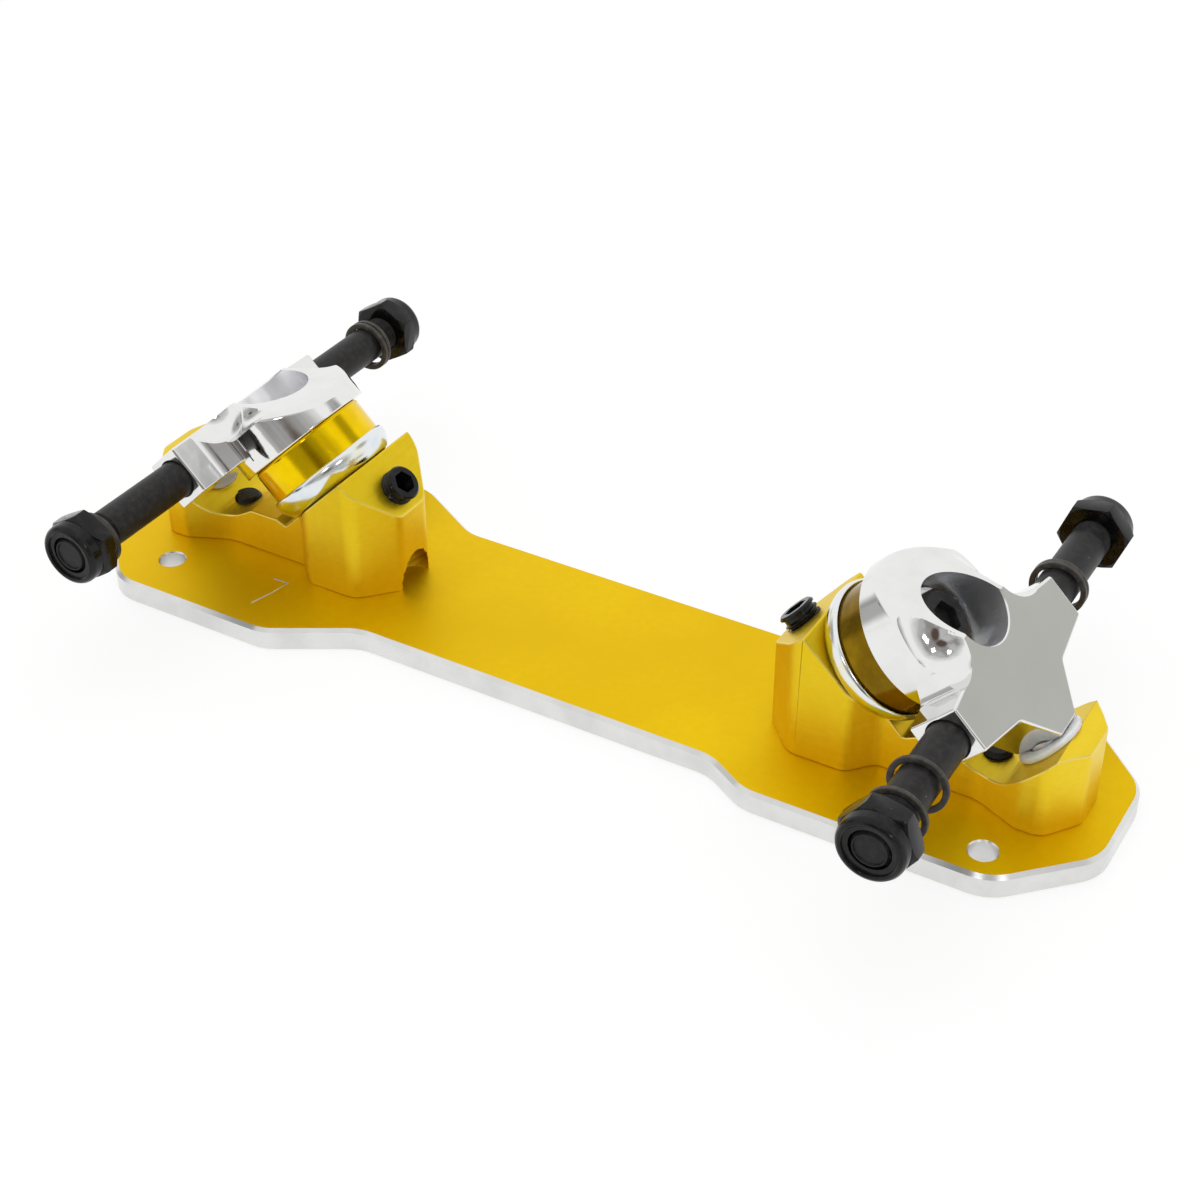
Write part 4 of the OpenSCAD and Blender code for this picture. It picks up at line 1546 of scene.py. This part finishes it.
@dataclass
class AxleSet:
    """An axle with its locknuts and loose washers."""

    truck: TruckFrame
    finishes: Finishes
    nut_turn: float
    half: float = 56.5
    plain: float = 46.0
    r: float = 4.0
    root_r: float = 3.58
    pitch: float = 1.0
    nut_face: float = 50.0
    nut_h: float = 7.0
    nut_af: float = 13.0
    nut_bore: float = 3.98
    hex_h: float = 4.0
    ring_r: float = 5.75
    ring_bore: float = 4.6
    ring_t: float = 1.0
    ring_lean: float = 1.5
    ring_gap: float = 0.05

    def build(self) -> None:
        """Models the axle, both nuts and the washers."""
        self._axle()
        model = self._nut()
        for side in Side:
            place = self.truck.axle(side) @ shift(0, 0, self.nut_face) @ turned(self.nut_turn, "Z")
            stand(model, self.truck.node(f"{side.label}_locknut"), place, "black_steel", self.truck.body,
                  self.truck.node(f"axle_nut_{side.label}"))
        Bench.drop(model)
        for side, (place, lean) in product(Side, (("inner", -self.ring_lean), ("outer", self.ring_lean))):
            self._washer(side, place, lean)

    def _axle(self) -> None:
        """Models the axle: a plain shaft with a thread at each end."""
        half, r, root = self.half, self.r, self.root_r
        right = [(r, 0), (r, self.plain), (root, self.plain + 0.4), (root, half - 0.6),
                 (root - 0.35, half), (root - 0.6, half), (root - 0.75, half - 0.3), (0, half - 0.3)]
        piece = Bench.lathe(self.truck.node("shaft"), [(x, -z) for x, z in reversed(right[1:])] + right)
        for flip in (0, 180):
            turns = Bench.thread("turns", r - 0.05, 0.4, self.pitch, self.plain, half - 0.1)
            Bench.join(piece, Join.ADD, Bench.place(turns, turned(flip, "X")))
        Bench.place(piece, self.truck.axle(Side.LEFT))
        Bench.smooth(piece, 30)
        fit(piece, "black_steel", self.truck.body, self.truck.node("axle"), self.finishes.oxide)

    def _nut(self) -> Piece:
        """Models a locknut on the Z axis: a hexagon with turned corners under a domed collar.

        Returns:
            The nut, with its inner face at the origin.
        """
        point, flat = self.nut_af / math.sqrt(3), self.nut_af / 2 - 0.02
        hex_top, top = self.hex_h, self.nut_h
        piece = Bench.hexagon("locknut", self.nut_af, 0, hex_top)
        Bench.join(piece, Join.KEEP, Bench.lathe("turned", [
            (0, -0.1), (flat, -0.1), (point, 0.5), (point, hex_top - 0.9), (flat + 0.1, hex_top + 0.1),
            (0, hex_top + 0.1)]))
        Bench.join(piece, Join.ADD, Bench.lathe("collar", [
            (0, 2), (flat, 2), (flat, top - 1.3), (flat - 0.1, top - 0.8), (flat - 0.45, top - 0.25),
            (flat - 0.9, top), (flat - 1.2, top), (flat - 1.45, top - 0.2), (flat - 1.5, top - 0.7),
            (0, top - 0.7)]))
        Bench.join(piece, Join.CUT, Bench.rod("bore", self.nut_bore, -1, top + 1))
        Bench.soften(piece, 0.22, 3, 28)
        Bench.smooth(piece, 35)
        Bench.dress(piece, self.finishes.gloss)
        return piece

    def _slider(self, side: Side, place: str) -> str:
        """The body of a loose washer; the rear left pair lies apart, so each of the two has its own."""
        apart = (self.truck.end, side) == (End.REAR, Side.LEFT)
        return self.truck.node(f"{side.label}_{place}_washer" if apart else f"{side.label}_washers")

    def _washer(self, side: Side, place: str, lean: float) -> None:
        """Models a loose washer, which hangs on the axle and leans a little.

        Args:
            side: The axle's side.
            place: Whether it is the inner or the outer one.
            lean: How far it leans.
        """
        node = self.truck.node(f"washer_{side.label}_{place}")
        low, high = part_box(node)
        spot = (low + high) / 2 - Vector((0, 0, (self.ring_bore - self.r - self.ring_gap) * MM))
        piece = Bench.ring(self.truck.node(f"{side.label}_{place}_ring"), self.ring_bore, self.ring_r,
                           -self.ring_t / 2, self.ring_t / 2)
        Bench.soften(piece, 0.2, 3)
        turn = self.truck.axle(side).to_3x3().to_4x4()
        Bench.place(piece, Matrix.Translation(spot) @ turn @ turned(lean, "X"))
        Bench.smooth(piece)
        fit(piece, "dark_washer", self._slider(side, place), node, self.finishes.ring)


@dataclass
class Studio:
    """A pale floor, soft lamps on a white surround, cards for shiny metal to mirror, and the camera.

    Its sizes are in metres.
    """

    camera_at: Point = (-0.17929, 0.30219, 0.26304)
    camera_pitch: float = 54.796
    camera_yaw: float = 210.403
    camera_roll: float = -0.199
    lens: float = 63.68
    sensor: float = 36.0
    ambient: float = 0.6
    floor_size: float = 8.0
    floor_drop: float = 0.0001
    floor_tone: float = 0.3
    floor_lift: float = 0.75
    card_reach: float = 1.2

    def build(self) -> None:
        """Sets the view transform and makes the camera, the stage and the lamps."""
        bpy.context.scene.view_settings.view_transform = "Standard"
        self._camera()
        self._world()
        self._floor()
        grey, pale, dark = (0.36, 0.36, 0.36), (0.46, 0.46, 0.46), (0.1, 0.1, 0.1)
        self._card("dark_flag", self._out(122, 24, self.card_reach), (4.4, 2.6),
                   ((0.3, 0.29, 0.28), (0.55, 0.55, 0.55)), (0.1, 0.07, 0.055))
        self._card("side_card", self._out(12, 14, self.card_reach), (1.0, 1.0), (grey, pale), dark)
        self._card("back_card", self._out(217, 37, self.card_reach), (0.75, 0.75), (grey, pale), grey)
        self._lamp("top_softbox", Vector((0.1, 0.1, 1.4)), size=1.5, power=5.5, shown=False)
        self._lamp("back_softbox", Vector((0.15, -1.1, 0.95)), size=0.9, power=1.0, shown=False)
        self._lamp("spark_left", self._out(100, 42), size=0.14, power=0.4, shown=True)
        self._lamp("spark_right", self._out(148, 36), size=0.14, power=0.4, shown=True)

    def _camera(self) -> None:
        """Makes the camera at the photograph's angle."""
        data = bpy.data.cameras.new("camera")
        data.lens = self.lens
        data.sensor_width = self.sensor
        camera = bpy.data.objects.new("camera", data)
        bpy.context.scene.collection.objects.link(camera)
        turn = turned(self.camera_yaw, "Z") @ turned(self.camera_pitch, "X") @ turned(self.camera_roll, "Z")
        camera.matrix_world = Matrix.Translation(self.camera_at) @ turn
        bpy.context.scene.camera = camera

    @staticmethod
    def _seen(shader: Shader) -> Wire:
        """One for rays that see the surround: from the camera, or off or through a surface."""
        camera, glossy, through = (shader.node("ShaderNodeLightPath", {}, {}, f"Is {ray} Ray")
                                   for ray in ("Camera", "Glossy", "Transmission"))
        return camera | glossy | through

    def _world(self) -> None:
        """Makes the white surround."""
        world = bpy.data.worlds.new("surround")
        world.use_nodes = True
        shader = Shader(world.node_tree)
        strength = self._seen(shader) * (1 - self.ambient) + self.ambient
        sky = shader.node("ShaderNodeBackground", {}, {"Color": (1, 1, 1), "Strength": strength})
        shader.node("ShaderNodeOutputWorld", {}, {"Surface": sky})
        bpy.context.scene.world = world

    def _floor(self) -> None:
        """Makes the pale floor, which keeps the object's shadow."""
        Bench.clear()
        bpy.ops.mesh.primitive_plane_add(size=self.floor_size, location=(0, 0, -self.floor_drop))
        floor = Bench.named("floor")
        material, shader = new_material("pale_floor")
        matt = shader.node("ShaderNodeBsdfDiffuse", {}, {"Color": (self.floor_tone,) * 3})
        lift = self._seen(shader) * self.floor_lift
        glow = shader.node("ShaderNodeEmission", {}, {"Color": (1, 1, 1), "Strength": lift})
        shader.close(shader.node("ShaderNodeAddShader", {}, {0: matt, 1: glow}))
        Bench.dress(floor, material)

    @staticmethod
    def _card(name: str, aim: Vector, size: Pair, tones: tuple[Colour, Colour], core: Colour) -> None:
        """Makes a card with soft edges, which only shiny surfaces see.

        Args:
            name: The card's name.
            aim: Its place, from where it faces the object.
            size: Its width and height.
            tones: The two tones of its patches.
            core: The tone of its middle.
        """
        Bench.clear()
        bpy.ops.mesh.primitive_plane_add(size=1)
        card = Bench.named(name)
        card.matrix_world = (Matrix.Translation(aim) @ aim.to_track_quat("Z", "Y").to_matrix().to_4x4()
                             @ Matrix.Diagonal((*size, 1, 1)))
        material, shader = new_material(name)
        spot = shader.node("ShaderNodeTexCoord", {}, {}, "Object")
        reach = shader.node("ShaderNodeVectorMath", {"operation": "LENGTH"}, {0: spot}, "Value")
        clear = shader.node("ShaderNodeBsdfTransparent", {}, {})
        patches = shader.mix(shader.noise(260, 2).span(0.4, 0.6), *tones)
        tone = shader.mix(reach.span(0.04, 0.09), core, patches)
        glow = shader.node("ShaderNodeEmission", {}, {"Color": tone, "Strength": 1.0})
        shader.close(shader.node("ShaderNodeMixShader", {}, {0: reach.span(0.2, 0.5), 1: glow, 2: clear}))
        Bench.dress(card, material)
        for ray in ("camera", "diffuse", "transmission", "volume_scatter", "shadow"):
            setattr(card, f"visible_{ray}", False)

    @staticmethod
    def _out(turn: float, rise: float, reach: float = 1.0) -> Vector:
        """A place by its angle round the object, its angle above the floor and its distance."""
        a, b = math.radians(turn), math.radians(rise)
        return Vector((math.cos(b) * math.cos(a), math.cos(b) * math.sin(a), math.sin(b))) * reach

    @staticmethod
    def _lamp(name: str, at: Vector, size: float, power: float, shown: bool) -> None:
        """Makes a square soft lamp that points at the object.

        Args:
            name: The lamp's name.
            at: Its place.
            size: Its width.
            power: Its power in watts.
            shown: Whether shiny surfaces show it.
        """
        data = bpy.data.lights.new(name, "AREA")
        data.size = size
        data.energy = power
        lamp = bpy.data.objects.new(name, data)
        bpy.context.scene.collection.objects.link(lamp)
        lamp.visible_glossy = shown
        lamp.location = at
        lamp.rotation_euler = at.to_track_quat("Z", "Y").to_euler()


def main() -> None:
    """Builds the stage and every piece in order."""
    logging.basicConfig(level=logging.INFO, format="%(name)s: %(message)s")
    Studio().build()
    finishes = Finishes()
    SolePlate(finishes).build()
    front, rear = TruckFrame(End.FRONT), TruckFrame(End.REAR)
    TruckBase((front, rear), finishes).build()
    Hanger((front, rear), finishes).build()
    for truck, nut_turn in ((front, 30.0), (rear, 50.0)):
        KingpinStack(truck, finishes).build()
        AxleSet(truck, finishes, nut_turn).build()


if __name__ == "__main__":
    main()
